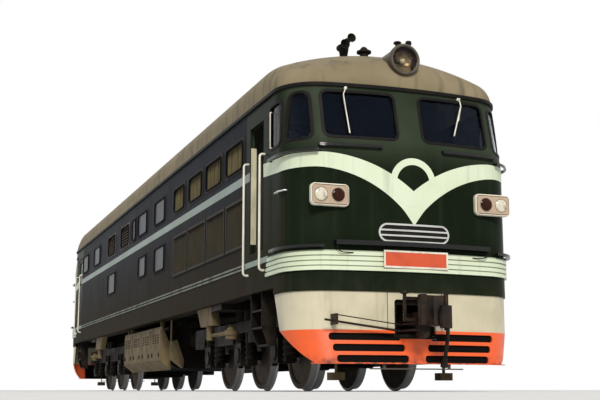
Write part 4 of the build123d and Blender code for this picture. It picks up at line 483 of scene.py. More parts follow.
# %% Shutters
shutter = plain_paint("shutter_olive", (0.100, 0.084, 0.042), (0.16, 0.135, 0.080), 0.6)
rows_part_z, blade_pitch, shutter_frame_y = 2.95, 0.045, 1.6255
uneven = shutter.patches(4, 0.2, 0.8, 0.8, 1)
low_row = shutter.both(shutter.step("LESS_THAN", shutter.z, rows_part_z), uneven)
shutter.lay((0.024, 0.020, 0.015), low_row, 0.6)
along_blades = shutter.step("FRACT", shutter.step("DIVIDE", shutter.x, blade_pitch))
# Painted shade: dark lines in the gaps between the blades.
shutter.lay((0.030, 0.025, 0.014), shutter.ramp(along_blades, 0.62, 0.8, 0, 0.6), 0.7)
on_frame = shutter.step("GREATER_THAN", shutter.step("ABSOLUTE", shutter.y), shutter_frame_y)
shutter.lay((0.020, 0.018, 0.014), on_frame, 0.6)
shutter.give("Specular IOR Level", 0.12).done()

# %% [markdown]
# The grille bars and the fans are bare light alloy: a metal with fine scratches along the bars, dull where
# dust lies.

# %% Light alloy
bright = Finish("bright_metal", (0.62, 0.63, 0.60), 0.28, 0.9)
bright.lay((0.30, 0.29, 0.26), bright.patches(14, 0.5, 0.75, 0, 0.8, (1, 0.2, 3), 5), 0.55)
bright.relief(bright.cloud(90, (1, 0.05, 1)), 0.001, 0.3).done()
fan = Finish("fan_steel", (0.30, 0.30, 0.30), 0.45, 0.8)
fan.lay((0.10, 0.09, 0.075), fan.patches(7, 0.42, 0.7, 0, 0.9, detail=6), 0.8)
fan.relief(fan.cloud(40), 0.002, 0.3).done()

# %% [markdown]
# The window rubbers, the gutter and the brake hoses are black rubber, greyed by weather. Rubber is matt
# with a fine, even grain, and its bloom is a brownish grey. Seams are the same, only darker, as they are
# gaps full of dirt. The same dark finish also paints the shade behind the apron's slots and under the
# battery vents' hoods.

# %% Rubber
def rubber(name, bloom=(0.019, 0.015, 0.011), share=0.6):
    """Matt black with a bloom over a share of it."""
    skin = Finish(name, (0.006, 0.006, 0.006), 0.5)
    skin.lay(bloom, skin.patches(6, 0.45, 0.75, 0, share, detail=7), 0.8)
    return skin.give("Specular IOR Level", 0.08).relief(skin.cloud(120, detail=2), 0.0008, 0.4)


rubber("black_rubber").done()
rubber("seam_dark", (0.008, 0.006, 0.004), 0.4).give("Specular IOR Level", 0.012).done()
rubber("hose_rubber", (0.05, 0.042, 0.034)).done()

# %% [markdown]
# The panes are plain glass. Seen from outside in daylight they are dark, because little light comes back
# out of the cab, and they mirror the sky. Transmission with a grey blue tint and a bluish reflection gives
# both. Dust dims a pane a little in broad patches, and the panes in the sides are almost black. The outer
# panes of the engine room are so dusty that they are nearly a paint, in slate grey.

# %% Glass
def glass(name, tint):
    """Clear glass with a tint, dark in the sides."""
    pane = Finish(name, tint, 0.01)
    side_pane_y = 1.585
    pane.lay(shaded(tint, 0.8), pane.patches(2.4, 0.45, 0.8, 0, 0.4, detail=6))
    pane.lay(shaded(tint, 0.08), pane.step("GREATER_THAN", pane.step("ABSOLUTE", pane.y), side_pane_y))
    pane.give("Transmission Weight", 1.0).give("IOR", 1.2)
    return pane.give("Specular Tint", (0.40, 0.55, 1.0, 1))


glass("window_glass", (0.46, 0.53, 0.58)).done()
glass("lamp_glass", (0.80, 0.76, 0.66)).done()
dusty = Finish("dusty_glass", (0.048, 0.052, 0.068), 0.3)
dusty.lay((0.085, 0.085, 0.092), dusty.patches(1.8, 0.42, 0.72, 0, 0.7, detail=7), 0.4)
dusty.give("Transmission Weight", 0.15).give("IOR", 1.15).done()

# %% [markdown]
# Each solid of the frame names the slot of its finish in the record, so one pass over that list paints the
# whole frame. A few differ: the long walls and their window frames get the duller green painted as shade,
# the nose bars a black gloss, and the drums of the headlights the khaki of the roof round them.

# %% Paint the frame
own_finish = dict.fromkeys(("side_wall_left", "side_wall_right", "body_window_frames"), "wall_green")
own_finish.update(nose_bars="bar_black", headlights="drum_khaki")
for row in record["subparts"]:
    solid = frame["nodes"][row["node"]]
    solid.data.materials.clear()
    finish = own_finish.get(row["node"], row["material_slot"])
    solid.data.materials.append(finishes[finish])
print("painted", len(record["subparts"]), "solids with", len(finishes), "finishes")

# %% [markdown]
# Everything that is added from here on is a mesh in the locomotive's own metres. One helper turns corners
# and faces into an object, gives it its finish, and lets it ride on the body that carries it.

# %% A piece of the dress
record_slots = {row["material_slot"]: row["material_slot"] for row in record["subparts"]}
record_slots.update(
    dusty_glass="window_glass",
    bar_black="trim_black",
    drum_khaki="body_green",
    jamb_cream="interior_cream",
    wall_green="body_green",
    wall_stripe="stripe_cream",
    plate_red="cock_red",
    lens_red="lamp_glass",
    spring_black="underframe_black",
    seam_dark="black_rubber",
)


def hang(name, mesh, finish, body="root"):
    """A mesh as a piece that rides on a body, in a finish."""
    mesh.materials.clear()
    mesh.materials.append(finishes[finish])
    piece = bpy.data.objects.new(name, mesh)
    scene.collection.objects.link(piece)
    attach(piece, body)
    return piece


def dress(name, corners, faces, finish, body="root"):
    """A piece from its corners and faces."""
    mesh = bpy.data.meshes.new(name)
    mesh.from_pydata([tuple(corner) for corner in corners], [], faces)
    mesh.update()
    return hang(name, mesh, finish, body)


print("slots for", len(record_slots), "finishes")

# %% [markdown]
# The locomotive has two ends alike. Everything is measured at the front end, and its twin at the rear is
# the same points turned half round, which swaps left and right as well.

# %% Ends and sides
ENDS = ("front", "rear")
SIDES = {"left": 1, "right": -1}


def turned_about(points, end):
    """The points as they are at the front, or turned half round for the rear."""
    return [Vector(p) if end == "front" else Vector((-p[0], -p[1], p[2])) for p in points]


def turned_point(point, end):
    """One point, turned likewise."""
    return turned_about([point], end)[0]


def turned_block(corners, end):
    """The block between two corners, turned likewise, as its lowest and highest corner."""
    low, high = turned_about(corners, end)
    return Vector(map(min, low, high)), Vector(map(max, low, high))


print("ends", ENDS, "sides", tuple(SIDES))

# %% [markdown]
# Paint can't be cut into the frame's solids, so a painted stripe is a skin 1.5 mm off the nose that follows
# it exactly. In plan the nose is a shallow bow, then a round corner, then the straight side, so a point on
# it is named by the distance walked from the middle. Above the waist the front leans back with the
# windscreens.

# %% Walk round the nose
nose_x, waist, body_side_y = 9.94, 3.05, 1.625
lean = 0.212 / 0.905
bow_radius, corner_radius = 7.2, 0.6
corner_turn = math.radians(8.933)
bow_walk = bow_radius * corner_turn
corner_walk = corner_radius * (math.pi / 2 - corner_turn)
corner_centre = Vector((nose_x - 0.6801, 1.025))


def on_nose(walk, z, out=0.0015):
    """The point on the nose a walk to the left of its middle (or right, if negative), and a little out."""
    back = lean * max(0.0, z - waist)
    side = -1 if walk < 0 else 1
    walk = abs(walk)
    if walk < bow_walk:
        turn_here = walk / bow_radius
        x = nose_x - bow_radius + (bow_radius + out) * math.cos(turn_here)
        y = (bow_radius + out) * math.sin(turn_here)
    elif walk < bow_walk + corner_walk:
        turn_here = corner_turn + (walk - bow_walk) / corner_radius
        x = corner_centre.x + (corner_radius + out) * math.cos(turn_here)
        y = corner_centre.y + (corner_radius + out) * math.sin(turn_here)
    else:
        x = corner_centre.x - (walk - bow_walk - corner_walk)
        y = body_side_y + out
    return Vector((x - back, side * y, z))


print("walk to the side", round(bow_walk + corner_walk, 3), "m")

# %% [markdown]
# On the nose the upper stripe sweeps down to a point, like a moustache. Its two edges were measured in the
# photograph: each is an arc that dips to the middle and runs level beyond. The skin is a strip of quads
# between them, closed with a thin edge so that it has real thickness.

# %% Moustache stripe
def arc_edge(y, centre_y, radius, level):
    """Height of an edge that is level beyond centre_y and falls along an arc towards the middle."""
    if y >= centre_y:
        return level
    return level - radius + math.sqrt(max(0.0, radius**2 - (centre_y - y) ** 2))


def skin_strip(name, columns, finish, body="root", thickness=0.0015):
    """A painted strip through columns of (foot, head) points, with its thickness towards the surface."""
    corners, faces = [], []
    for foot, head in columns:
        corners += [foot, head]
    for i in range(len(columns) - 1):
        faces.append((2 * i, 2 * i + 2, 2 * i + 3, 2 * i + 1))
    piece = dress(name, corners, faces, finish, body)
    solid = piece.modifiers.new("thickness", "SOLIDIFY")
    solid.thickness = thickness
    solid.offset = -1
    return piece


side_end_x, corner_end_x = 8.60, 9.26
side_end_walk = bow_walk + corner_walk + (corner_centre.x - side_end_x)
stripe_steps, crowding = 96, 1.15
high_edge, high_rise = (1.30, 2.05, 3.038), 0.052
low_edge, low_rise = (1.40, 1.75, 2.846), 0.055
point_half, point_drop = 0.16, 0.03
for end in ENDS:
    for name, side in SIDES.items():
        columns = []
        for i in range(stripe_steps + 1):
            walk = side_end_walk * (i / stripe_steps) ** crowding
            flat = on_nose(walk, 2.8)
            y = abs(flat.y)
            past = 0.0
            if walk > bow_walk + corner_walk:
                past = max(0.0, (corner_end_x - flat.x) / (corner_end_x - side_end_x))
            high = arc_edge(y, *high_edge) + high_rise * past
            low = arc_edge(y, *low_edge) + low_rise * past - point_drop * max(0.0, 1 - y / point_half)
            points = [on_nose(side * walk, low), on_nose(side * walk, high)]
            columns.append(turned_about(points if side < 0 else points[::-1], end))
        skin_strip(f"moustache_{end}_{name}", columns, "stripe_cream")
print("moustache halves", len(ENDS) * len(SIDES))

# %% [markdown]
# A plain ring stands over the point of the moustache. It is a flat washer of paint bent to the bow of the
# nose.

# %% Roundel
ring_z, ring_out, ring_in, ring_steps, ring_lift = 2.69, 0.325, 0.235, 72, 0.0032
for end in ENDS:
    columns = []
    for i in range(ring_steps + 1):
        angle = 2 * math.pi * i / ring_steps
        across, up = math.cos(angle), math.sin(angle)
        pair = [on_nose(r * across, ring_z + r * up, ring_lift) for r in (ring_in, ring_out)]
        columns.append(turned_about(pair, end))
    skin_strip(f"roundel_{end}", columns, "stripe_cream", thickness=0.0017)
print("roundels", len(ENDS))

# %% [markdown]
# Along the sides the stripe goes on between the two rows of windows as one straight band, and stops for the
# doors. It is in the darker cream of the long sides, which is painted shade.

# %% Side stripes
stripe_y, stripe_low, stripe_high = 1.6265, 2.965, 3.092
stripe_places = (7.96, 3.2, 0, -3.2, -7.96)
for name, side in SIDES.items():
    columns = [[(x, side * stripe_y, z) for z in (stripe_low, stripe_high)][::side] for x in stripe_places]
    skin_strip(f"side_stripe_{name}", columns, "wall_stripe")
print("side stripes", len(SIDES))

# %% [markdown]
# Bars, wires and pipes are round rods along a line of points. A curve with a bevel makes each rod, and its
# mesh is taken over, so that several rods of one kind become one piece.

# %% Rods
def rods(name, lines, radius, finish, body="root", sides=2):
    """Round rods along lines of points, as one mesh."""
    curve = bpy.data.curves.new(name + "_line", "CURVE")
    curve.dimensions = "3D"
    curve.bevel_depth = radius
    curve.bevel_resolution = sides
    curve.use_fill_caps = True
    for points in lines:
        spline = curve.splines.new("POLY")
        spline.points.add(len(points) - 1)
        for knot, point in zip(spline.points, points):
            knot.co = (*point, 1)
    holder = bpy.data.objects.new(name + "_line", curve)
    scene.collection.objects.link(holder)
    mesh = bpy.data.meshes.new_from_object(holder.evaluated_get(bpy.context.evaluated_depsgraph_get()))
    bpy.data.objects.remove(holder)
    bpy.data.curves.remove(curve)
    mesh.name = name
    mesh.shade_smooth()
    return hang(name, mesh, finish, body)


print("helper for rods")

# %% [markdown]
# Plates, mouldings and hoods are flat blocks that lie square to the locomotive. Many blocks can be one
# piece, and a fine bevel takes the sharpness off their edges, as paint does.

# %% Slabs
def slabs(name, boxes, finish, body="root", edge=0.002):
    """Flat blocks between two corners each, as one mesh with softened edges."""
    corners, faces = [], []
    for low, high in boxes:
        first = len(corners)
        xs, ys, zs = zip(low, high)
        corners += [(xs[i], ys[j], zs[k]) for i in (0, 1) for j in (0, 1) for k in (0, 1)]
        for face in ((0, 1, 3, 2), (4, 6, 7, 5), (0, 4, 5, 1), (2, 3, 7, 6), (0, 2, 6, 4), (1, 5, 7, 3)):
            faces.append([first + corner for corner in face])
    piece = dress(name, corners, faces, finish, body)
    if edge:
        soft = piece.modifiers.new("soft_edges", "BEVEL")
        soft.width = edge
        soft.segments = 2
    return piece


print("helper for slabs")

# %% [markdown]
# Lamps, lids and caps are turned on a lathe. Such a piece is a profile of distances and radii swept round
# an axis. It is shaded smooth, except where the profile has a real corner.

# %% Turned pieces
def turned(name, centre, axis, profile, finish, body="root", steps=32, open_ends=False):
    """A round piece turned about an axis through a centre, from (distance along the axis, radius) pairs."""
    axis = Vector(axis).normalized()
    across = axis.orthogonal().normalized()
    up = axis.cross(across)
    corners, faces = [], []
    for along, radius in profile:
        for i in range(steps):
            angle = 2 * math.pi * i / steps
            spoke = math.cos(angle) * across + math.sin(angle) * up
            corners.append(Vector(centre) + along * axis + radius * spoke)
    for ring in range(len(profile) - 1):
        for i in range(steps):
            j = (i + 1) % steps
            faces.append((ring * steps + i, ring * steps + j, (ring + 1) * steps + j, (ring + 1) * steps + i))
    if profile[0][1] > 0 and not open_ends:
        faces.append(tuple(reversed(range(steps))))
    if profile[-1][1] > 0 and not open_ends:
        faces.append(tuple(range((len(profile) - 1) * steps, len(profile) * steps)))
    piece = dress(name, corners, faces, finish, body)
    piece.data.shade_smooth()
    crease = piece.modifiers.new("sharp_edges", "EDGE_SPLIT")
    crease.split_angle = math.radians(35)
    return piece


print("helper for turned pieces")

# %% [markdown]
# On the front stands a red enamel plate with a white border. The real one carries the running number; here
# it is left bare. It is a flat plate with a raised border of four strips.

# %% Plate
plate = Finish("plate_red", (0.56, 0.075, 0.020), 0.28)
plate.lay((0.38, 0.048, 0.018), plate.patches(5, 0.45, 0.72, 0, 0.8, detail=7), 0.42)
plate.lay((0.10, 0.05, 0.035), plate.patches(26, 0.62, 0.8, 0, 0.6, detail=5), 0.7)
plate.relief(plate.cloud(9), 0.003, 0.15).done()
plate_half, plate_low, plate_high = 0.457, 1.553, 1.779
plate_back, plate_face, border = 9.9705, 9.982, 0.024
strip_back, strip_face = plate_face - 0.001, plate_face + 0.003
strips = [
    (-plate_half, plate_half, plate_low, plate_low + border),
    (-plate_half, plate_half, plate_high - border, plate_high),
    (-plate_half, border - plate_half, plate_low + border, plate_high - border),
    (plate_half - border, plate_half, plate_low + border, plate_high - border),
]
for end in ENDS:
    block = turned_block([(plate_back, -plate_half, plate_low), (plate_face, plate_half, plate_high)], end)
    slabs(f"plate_{end}", [block], "plate_red")
    blocks = [turned_block([(strip_back, y0, z0), (strip_face, y1, z1)], end) for y0, y1, z0, z1 in strips]
    slabs(f"plate_border_{end}", blocks, "rail_white", edge=0.0012)
print("plates", round(2 * plate_half, 3), "by", round(plate_high - plate_low, 3), "m")

# %% [markdown]
# A wiper hangs from a spindle above each windscreen. Its thin cream arm leans over the glass, and a rubber
# blade in a cream holder lies along the lower part. The two were parked at different slants, which the
# points below follow.

# %% Wipers
wiper_arms = {
    "right": [(-0.851, 3.955), (-0.892, 3.860), (-0.878, 3.60)],
    "left": [(0.826, 3.955), (0.845, 3.856), (0.765, 3.62)],
}
wiper_blades = {"right": [(-0.890, 3.82), (-0.857, 3.307)], "left": [(0.838, 3.83), (0.667, 3.394)]}
spindle = [(0, 0.022), (0.035, 0.022), (0.040, 0.012), (0.062, 0.012), (0.066, 0.0)]
spindle_z, spindle_out, arm_out, holder_out, blade_out = 3.9, 0.038, 0.030, 0.022, 0.008
for end in ENDS:
    for side, arm in wiper_arms.items():
        blade = wiper_blades[side]
        at = [on_nose(y, z, spindle_out if z > spindle_z else arm_out) for y, z in arm]
        rods(f"wiper_arm_{end}_{side}", [turned_about(at, end)], 0.0085, "rail_white")
        at = [on_nose(y, z, holder_out) for y, z in blade]
        rods(f"wiper_holder_{end}_{side}", [turned_about(at, end)], 0.0095, "rail_white")
        at = [on_nose(y, z, blade_out) for y, z in blade]
        rods(f"wiper_blade_{end}_{side}", [turned_about(at, end)], 0.006, "black_rubber")
        foot, head = turned_about([on_nose(*arm[0], -0.01), on_nose(*arm[0], 0.05)], end)
        turned(f"wiper_spindle_{end}_{side}", foot, head - foot, spindle, "rail_white", steps=20)
print("wipers", len(ENDS) * len(wiper_arms))

# %% [markdown]
# The headlight is a deep drum with a glass. Behind the glass sit a silvered bowl and a bulb; together they
# give the brownish gleam that the real lamp shows by day. The bowl is a turned shell that lines the drum's
# recess.

# %% Headlight bowl and bulb
bowl = Finish("lamp_silver", (0.46, 0.36, 0.24), 0.2, 0.95)
bowl.lay((0.045, 0.030, 0.018), bowl.patches(5, 0.35, 0.62, 0.15, 0.92, detail=7), 0.35)
bowl.done()
rim_x, light_z, bulb_depth = 9.724, 4.425, 0.052
bowl_shape = [(0.0, 0.178), (0.028, 0.171), (0.058, 0.157), (0.084, 0.131)]
bowl_shape += [(0.104, 0.094), (0.116, 0.047), (0.120, 0.0)]
bulb_shape = [(-0.040, 0.0), (-0.034, 0.022), (-0.014, 0.036)]
bulb_shape += [(0.010, 0.034), (0.028, 0.018), (0.060, 0.015)]
rim_shape = [(-0.030, 0.179), (-0.047, 0.183), (-0.052, 0.192)]
rim_shape += [(-0.050, 0.210), (-0.038, 0.2195), (0.016, 0.2195)]
lid_shape = [(0.0, 0.030), (0.052, 0.030), (0.056, 0.052), (0.070, 0.056), (0.084, 0.044), (0.089, 0.0)]
knob_shape = [(0.0, 0.022), (0.050, 0.022), (0.060, 0.036), (0.086, 0.045), (0.112, 0.036), (0.124, 0.0)]
on_drum = {"lid": ((9.640, -0.055, 4.618), lid_shape), "knob": ((9.665, 0.100, 4.606), knob_shape)}
for end in ENDS:
    rim, inwards = turned_about([(rim_x, 0, light_z), (-1, 0, 0)], end)
    turned(f"headlight_bowl_{end}", rim, inwards, bowl_shape, "lamp_silver", steps=48, open_ends=True)
    turned(f"headlight_bulb_{end}", rim + bulb_depth * inwards, inwards, bulb_shape, "rail_white", steps=20)
    turned(f"headlight_rim_{end}", rim, inwards, rim_shape, "drum_khaki", steps=56, open_ends=True)
    for part, (foot, shape) in on_drum.items():
        turned(f"headlight_{part}_{end}", turned_point(foot, end), (0, 0, 1), shape, "trim_black", steps=28)
print("headlights", len(ENDS))

# %% [markdown]
# The lenses of the marker lamps are moulded glass: a deep red that is nearly black by day, and a clear one,
# yellowed and dusty. Both are painted here as glossy surfaces, because the lamps behind them are dark.

# %% Lens glass
red_lens = Finish("lens_red", (0.034, 0.007, 0.003), 0.08)
red_lens.lay((0.014, 0.005, 0.002), red_lens.patches(22, 0.45, 0.7), 0.12)
red_lens.give("Specular IOR Level", 0.13).done()
clear_lens = Finish("lens_clear", (0.62, 0.58, 0.47), 0.1)
clear_lens.lay((0.26, 0.22, 0.15), clear_lens.patches(18, 0.5, 0.7), 0.18)
clear_lens.give("Coat Weight", 0.6).done()

# %% [markdown]
# Each marker lamp box has two lenses side by side, clear outside and red inside, and fine upright ribs
# pressed into its face round them. The lenses are shallow domes with a bezel, just in front of the frame's
# plain glass discs.

# %% Marker lamp lenses
lens_x, lens_radius = 9.950, 0.086
lens_places = {"red": 1.066, "clear": 1.298}
dome = [(0.001, lens_radius), (0.007, 0.078), (0.013, 0.060), (0.017, 0.030), (0.018, 0.0)]
bezel = [(0.0, lens_radius), (0.007, 0.087), (0.009, 0.090), (0.006, 0.095), (-0.001, 0.097)]
rib_count, first_rib_y, rib_gap, rib_x = 31, 0.936, 0.0158, lens_x - 0.001
rib_half, rib_clear, shortest_rib = 0.118, 0.101, 0.012


def lamp_ribs(side, end):
    """The upright ribs of one lamp's face, which stop short of both lenses."""
    ribs = []
    for step in range(rib_count):
        y = first_rib_y + step * rib_gap
        clear = max(math.sqrt(max(0.0, rib_clear**2 - (y - middle) ** 2)) for middle in lens_places.values())
        for z0, z1 in ((lamp_z - rib_half, lamp_z - clear), (lamp_z + clear, lamp_z + rib_half)):
            if z1 - z0 > shortest_rib:
                ribs.append(turned_about([(rib_x, side * y, z0), (rib_x, side * y, z1)], end))
    return ribs


for end in ENDS:
    ahead = turned_point((1, 0, 0), end)
    for name, side in SIDES.items():
        for colour, y in lens_places.items():
            middle = turned_point((lens_x, side * y, lamp_z), end)
            lens, ring = f"marker_lens_{colour}_{end}_{name}", f"marker_bezel_{colour}_{end}_{name}"
            turned(lens, middle, ahead, dome, f"lens_{colour}", steps=36)
            turned(ring, middle, ahead, bezel, "lamp_bezel", steps=36, open_ends=True)
        rods(f"marker_ribs_{end}_{name}", lamp_ribs(side, end), 0.003, "lamp_bezel", sides=1)
print("marker lenses", len(ENDS) * len(SIDES) * len(lens_places))

# %% [markdown]
# Behind the bright grille bars lies a dark oval. It is painted shade: a dark patch on the nose in the shape
# of the grille's frame.

# %% Painted shade behind the grille
oval_z, oval_half, oval_end, oval_steps = 2.0125, 0.482, 0.0985, 48
for end in ENDS:
    columns = []
    for i in range(oval_steps + 1):
        walk = oval_half * math.sin(math.pi * (i / oval_steps - 0.5))
        past = max(0.0, abs(walk) - (oval_half - oval_end))
        half = math.sqrt(max(0.0, oval_end**2 - past**2))
        pair = [on_nose(walk, oval_z - half, 0.004), on_nose(walk, oval_z + half, 0.004)]
        columns.append(turned_about(pair, end))
    skin_strip(f"grille_shade_{end}", columns, "trim_black", thickness=0.003)
print("grille grounds", len(ENDS))

# %% [markdown]
# The side walls have windows and shutters in two rows, spaced as the engine room needs them and not evenly.
# Each opening is written here by its ends along the wall and its foot and head. The glazed ones are named
# by their number in the list. An opening's corners are arcs, which the beads and gussets of the next cell
# follow.

# %% Openings of the side walls
windows = [(-7.78, -6.80), (-5.88, -4.90), (-0.71, -0.29), (-0.05, 0.88)]
windows += [(1.60, 2.54), (-2.01, -1.07), (-3.69, -2.77)]
shutters = [(3.27, 4.09), (4.40, 5.32), (5.54, 6.51), (6.74, 7.68)]
openings = [(x0, x1, 3.19, 3.72) for x0, x1 in windows]
openings += [(1.64, 2.57, 2.25, 2.79), (0.06, 0.85, 2.30, 2.80), (-3.64, -2.62, 2.25, 2.80)]
openings += [(x0, x1, 3.19, 3.69) for x0, x1 in shutters]
glazed = (0, 1, 2, 3, 4, 7, 8, 9)
frame_width, corner_round, arc_steps = 0.04, 0.075, 8


def corner_arcs(x0, x1, z0, z1):
    """The four corners of an opening, each with the points of its arc."""
    arcs = []
    for k, (x, z) in enumerate(((x1, z1), (x0, z1), (x0, z0), (x1, z0))):
        centre_x = x - corner_round if x == x1 else x + corner_round
        centre_z = z - corner_round if z == z1 else z + corner_round
        turns = [math.pi / 2 * (k + i / arc_steps) for i in range(arc_steps + 1)]
        arc = [(centre_x + corner_round * math.cos(t), centre_z + corner_round * math.sin(t)) for t in turns]
        arcs.append(((x, z), arc))
    return arcs


print("openings", len(openings), "of them glazed", len(glazed))

# %% [markdown]
# The side windows of the real body have round corners, set in a dark rubber that stands a little proud. The
# frame's openings are square, so a small gusset fills each corner up to an arc, and a round bead of rubber
# runs along the arc and the straight edges. The upper row of shutters has the same bead. Each glazed window
# has an outer pane, flush with the bead and so dusty that it looks slate grey, as the engine room's windows
# do in the photograph.

# %% Round corners, beads and outer panes
gusset_y, bead_y, pane_y, bead_radius = 1.6362, 1.637, 1.632, 0.019


def thicken(piece, thickness):
    """Gives a flat skin its thickness."""
    solid = piece.modifiers.new("thickness", "SOLIDIFY")
    solid.thickness = thickness


for name, side in SIDES.items():
    beads, corners, faces, pane_corners, pane_faces = [], [], [], [], []
    for number, (x0, x1, z0, z1) in enumerate(openings):
        loop = []
        arcs = corner_arcs(x0 + frame_width, x1 - frame_width, z0 + frame_width, z1 - frame_width)
        for corner, arc in arcs:
            first = len(corners)
            corners += [(x, side * gusset_y, z) for x, z in [corner, *arc]]
            for i in range(arc_steps):
                fan_face = (first, first + 1 + i, first + 2 + i)
                faces.append(fan_face if side < 0 else fan_face[::-1])
            loop += arc
        beads.append([(x, side * bead_y, z) for x, z in [*loop, loop[0]]])
        if number in glazed:
            outline = [len(pane_corners) + i for i in range(len(loop))]
            pane_corners += [(x, side * pane_y, z) for x, z in loop]
            pane_faces.append(outline if side < 0 else outline[::-1])
    rods(f"window_beads_{name}", beads, bead_radius, "seam_dark", sides=2)
    thicken(dress(f"window_gussets_{name}", corners, faces, "wall_green"), 0.003)
    thicken(dress(f"outer_panes_{name}", pane_corners, pane_faces, "dusty_glass"), 0.004)
print("beads round", len(openings), "openings on each side")

# %% [markdown]
# The walls are made of sheets with flush seams, and a thin moulding closes the lower shutters. Seams are
# drawn as narrow dark skins, a few millimetres wide, where sheets of the real one would meet: between the
# window groups and at the cabs.

# %% Seams and mouldings of the walls
def side_block(side, x0, x1, y, half_depth, z0, z1):
    """A block on one side of the body, between two places along it, about a distance out."""
    return (x0, side * y - half_depth, z0), (x1, side * y + half_depth, z1)


seam_places, seam_half, seam_y = (-7.92, -6.30, -4.30, -2.40, -0.88, 1.24, 2.92), 0.003, 1.6262
seam_heights = ((1.83, 2.955), (3.10, 3.96))
moulding_places, moulding_half = (4.32, 5.56, 6.70), 0.009
for name, side in SIDES.items():
    seams = [
        side_block(side, x - seam_half, x + seam_half, seam_y, 0.0004, z0, z1)
        for x in seam_places
        for z0, z1 in seam_heights
    ]
    slabs(f"wall_seams_{name}", seams, "seam_dark", edge=0)
    mouldings = [
        side_block(side, x - moulding_half, x + moulding_half, 1.640, 0.004, 2.06, 2.78)
        for x in moulding_places
    ]
    mouldings.append(side_block(side, 3.27, 7.68, 1.638, 0.004, 2.035, 2.053))
    slabs(f"shutter_mouldings_{name}", mouldings, "wall_green", edge=0.002)
print("wall seams", len(seams), "and mouldings", len(mouldings), "on each side")

# %% [markdown]
# Each doorway shows its jamb, which is cream like the inside of the cab. The cream covers it only from 2.05 m
# to 3.45 m, the part in sunlight, and above it the doorway is left dark, as painted shadow under the door's
# head. The strip along the foot of the wall goes on under the door to the band, as one flat moulding in the
# shaded cream of the side stripes. Beside the door small things catch the light: a short white grab post by
# the sliding window, and a handle on the cab's side under the stripe.

# %% Jambs, strips, posts and handles of the cab sides
def upright_seam(name, end, walk, half, out, z0, z1):
    """A dark seam up the nose or the cab's side, a walk from the middle."""
    pairs = [[on_nose(walk + shift, z, out) for z in (z0, z1)] for shift in (-half, half)]
    skin_strip(name, [turned_about(pair, end) for pair in pairs], "seam_dark", thickness=0.001)


post_line = [(8.94, 1.625, 3.735), (8.94, 1.648, 3.735), (8.94, 1.648, 3.24), (8.94, 1.625, 3.24)]
grip_z, grip_line = 2.57, [(1.76, 0.0), (1.76, 0.042), (1.90, 0.05), (2.04, 0.042), (2.04, 0.0)]
for end in ENDS:
    for name, side in SIDES.items():
        place = f"{end}_{name}"
        # Painted sunlight: cream only on the sunlit part of the jamb; above it is left dark as painted
        # shadow.
        jamb = turned_block([(7.9700, side * 1.612, 2.05), (7.9712, side * 1.530, 3.45)], end)
        slabs(f"sunlit_jamb_{place}", [jamb], "jamb_cream", edge=0)
        moulding = turned_block([(7.803, side * 1.6252, 1.710), (8.800, side * 1.637, 1.790)], end)
        slabs(f"cab_strip_{place}", [moulding], "wall_stripe", edge=0.004)
        post = turned_about([(x, side * y, z) for x, y, z in post_line], end)
        rods(f"grab_post_{place}", [post], 0.010, "rail_white")
        grip = turned_about([on_nose(side * walk, grip_z, out) for walk, out in grip_line], end)
        rods(f"side_grip_{place}", [grip], 0.013, "bright_metal")
        upright_seam(f"cab_seam_{place}", end, side * 2.30, 0.0035, 0.0012, 1.90, 2.80)
print("jambs, strips, posts and grips", len(ENDS) * len(SIDES))

# %% [markdown]
# Each battery box has four doors on its long side. On the real ones the doors are pressed with short rows
# of vents near the top and held by latches. Each vent here is a small hood in the box's own paint over a dark
# slit, which is painted shade under the hood.

# %% Battery box vents and latches
box_face, box_half, doors = 1.514, 1.88, 4
hood_y, slit_y, latch_y = box_face + 0.007, box_face + 0.001, box_face + 0.009
vent_gap, row_gap, top_row_z = 0.215, 0.048, 1.085
for name, side in SIDES.items():
    hoods, shaded_slits, latches = [], [], []
    for i in range(doors):
        middle = -box_half + (i + 0.5) * box_half / 2
        for x in (middle - vent_gap, middle, middle + vent_gap):
            for z in [top_row_z - row_gap * row for row in range(4)]:
                hoods.append(side_block(side, x - 0.062, x + 0.062, hood_y, 0.008, z, z + 0.013))
                # Painted shade under each hood.
                shaded_slits.append(side_block(side, x - 0.060, x + 0.060, slit_y, 0.002, z - 0.017, z))
        for x in (middle - 0.30, middle + 0.30):
            latches.append(side_block(side, x - 0.014, x + 0.014, latch_y, 0.010, 0.655, 0.735))
    slabs(f"battery_hoods_{name}", hoods, "box_grey", edge=0.003)
    slabs(f"battery_slits_{name}", shaded_slits, "seam_dark", edge=0)
    slabs(f"battery_latches_{name}", latches, "trim_black", edge=0.003)
print("battery box vents", len(hoods), "on each side")

# %% [markdown]
# Behind the slots of the apron all is dark. A thin black sheet right behind the apron's plate closes them,
# as painted shade. The plate is bowed like the nose and its lower part juts forward to the foot, so the
# sheet follows the same bow and the same slope.

# %% Painted shade behind the apron's slots
knee_z, foot_z, knee_back, foot_ahead = 0.765, 0.340, 0.050, 0.193
sheet_strips = {"upper": (0.654, 0.742, 0.305, 1.19), "lower": (0.350, 0.654, 0.0, 1.19)}
sheet_steps = 14


def behind_apron(y, z, gap=0.004):
    """A point just behind the apron's plate."""
    share = (knee_z - z) / (knee_z - foot_z)
    bow = bow_radius - (knee_back + (foot_ahead - knee_back) * share + gap)
    return Vector((nose_x + foot_ahead * share - bow_radius + math.sqrt(bow**2 - y**2), y, z))


for end in ENDS:
    for level, (z0, z1, y0, y1) in sheet_strips.items():
        for name, side in SIDES.items():
            ys = [side * (y0 + (y1 - y0) * i / sheet_steps) for i in range(sheet_steps + 1)]
            columns = [turned_about([behind_apron(y, z0), behind_apron(y, z1)][::side], end) for y in ys]
            skin_strip(f"slot_sheet_{level}_{end}_{name}", columns, "seam_dark", thickness=0.002)
print("slot sheets", len(ENDS) * len(sheet_strips) * len(SIDES))

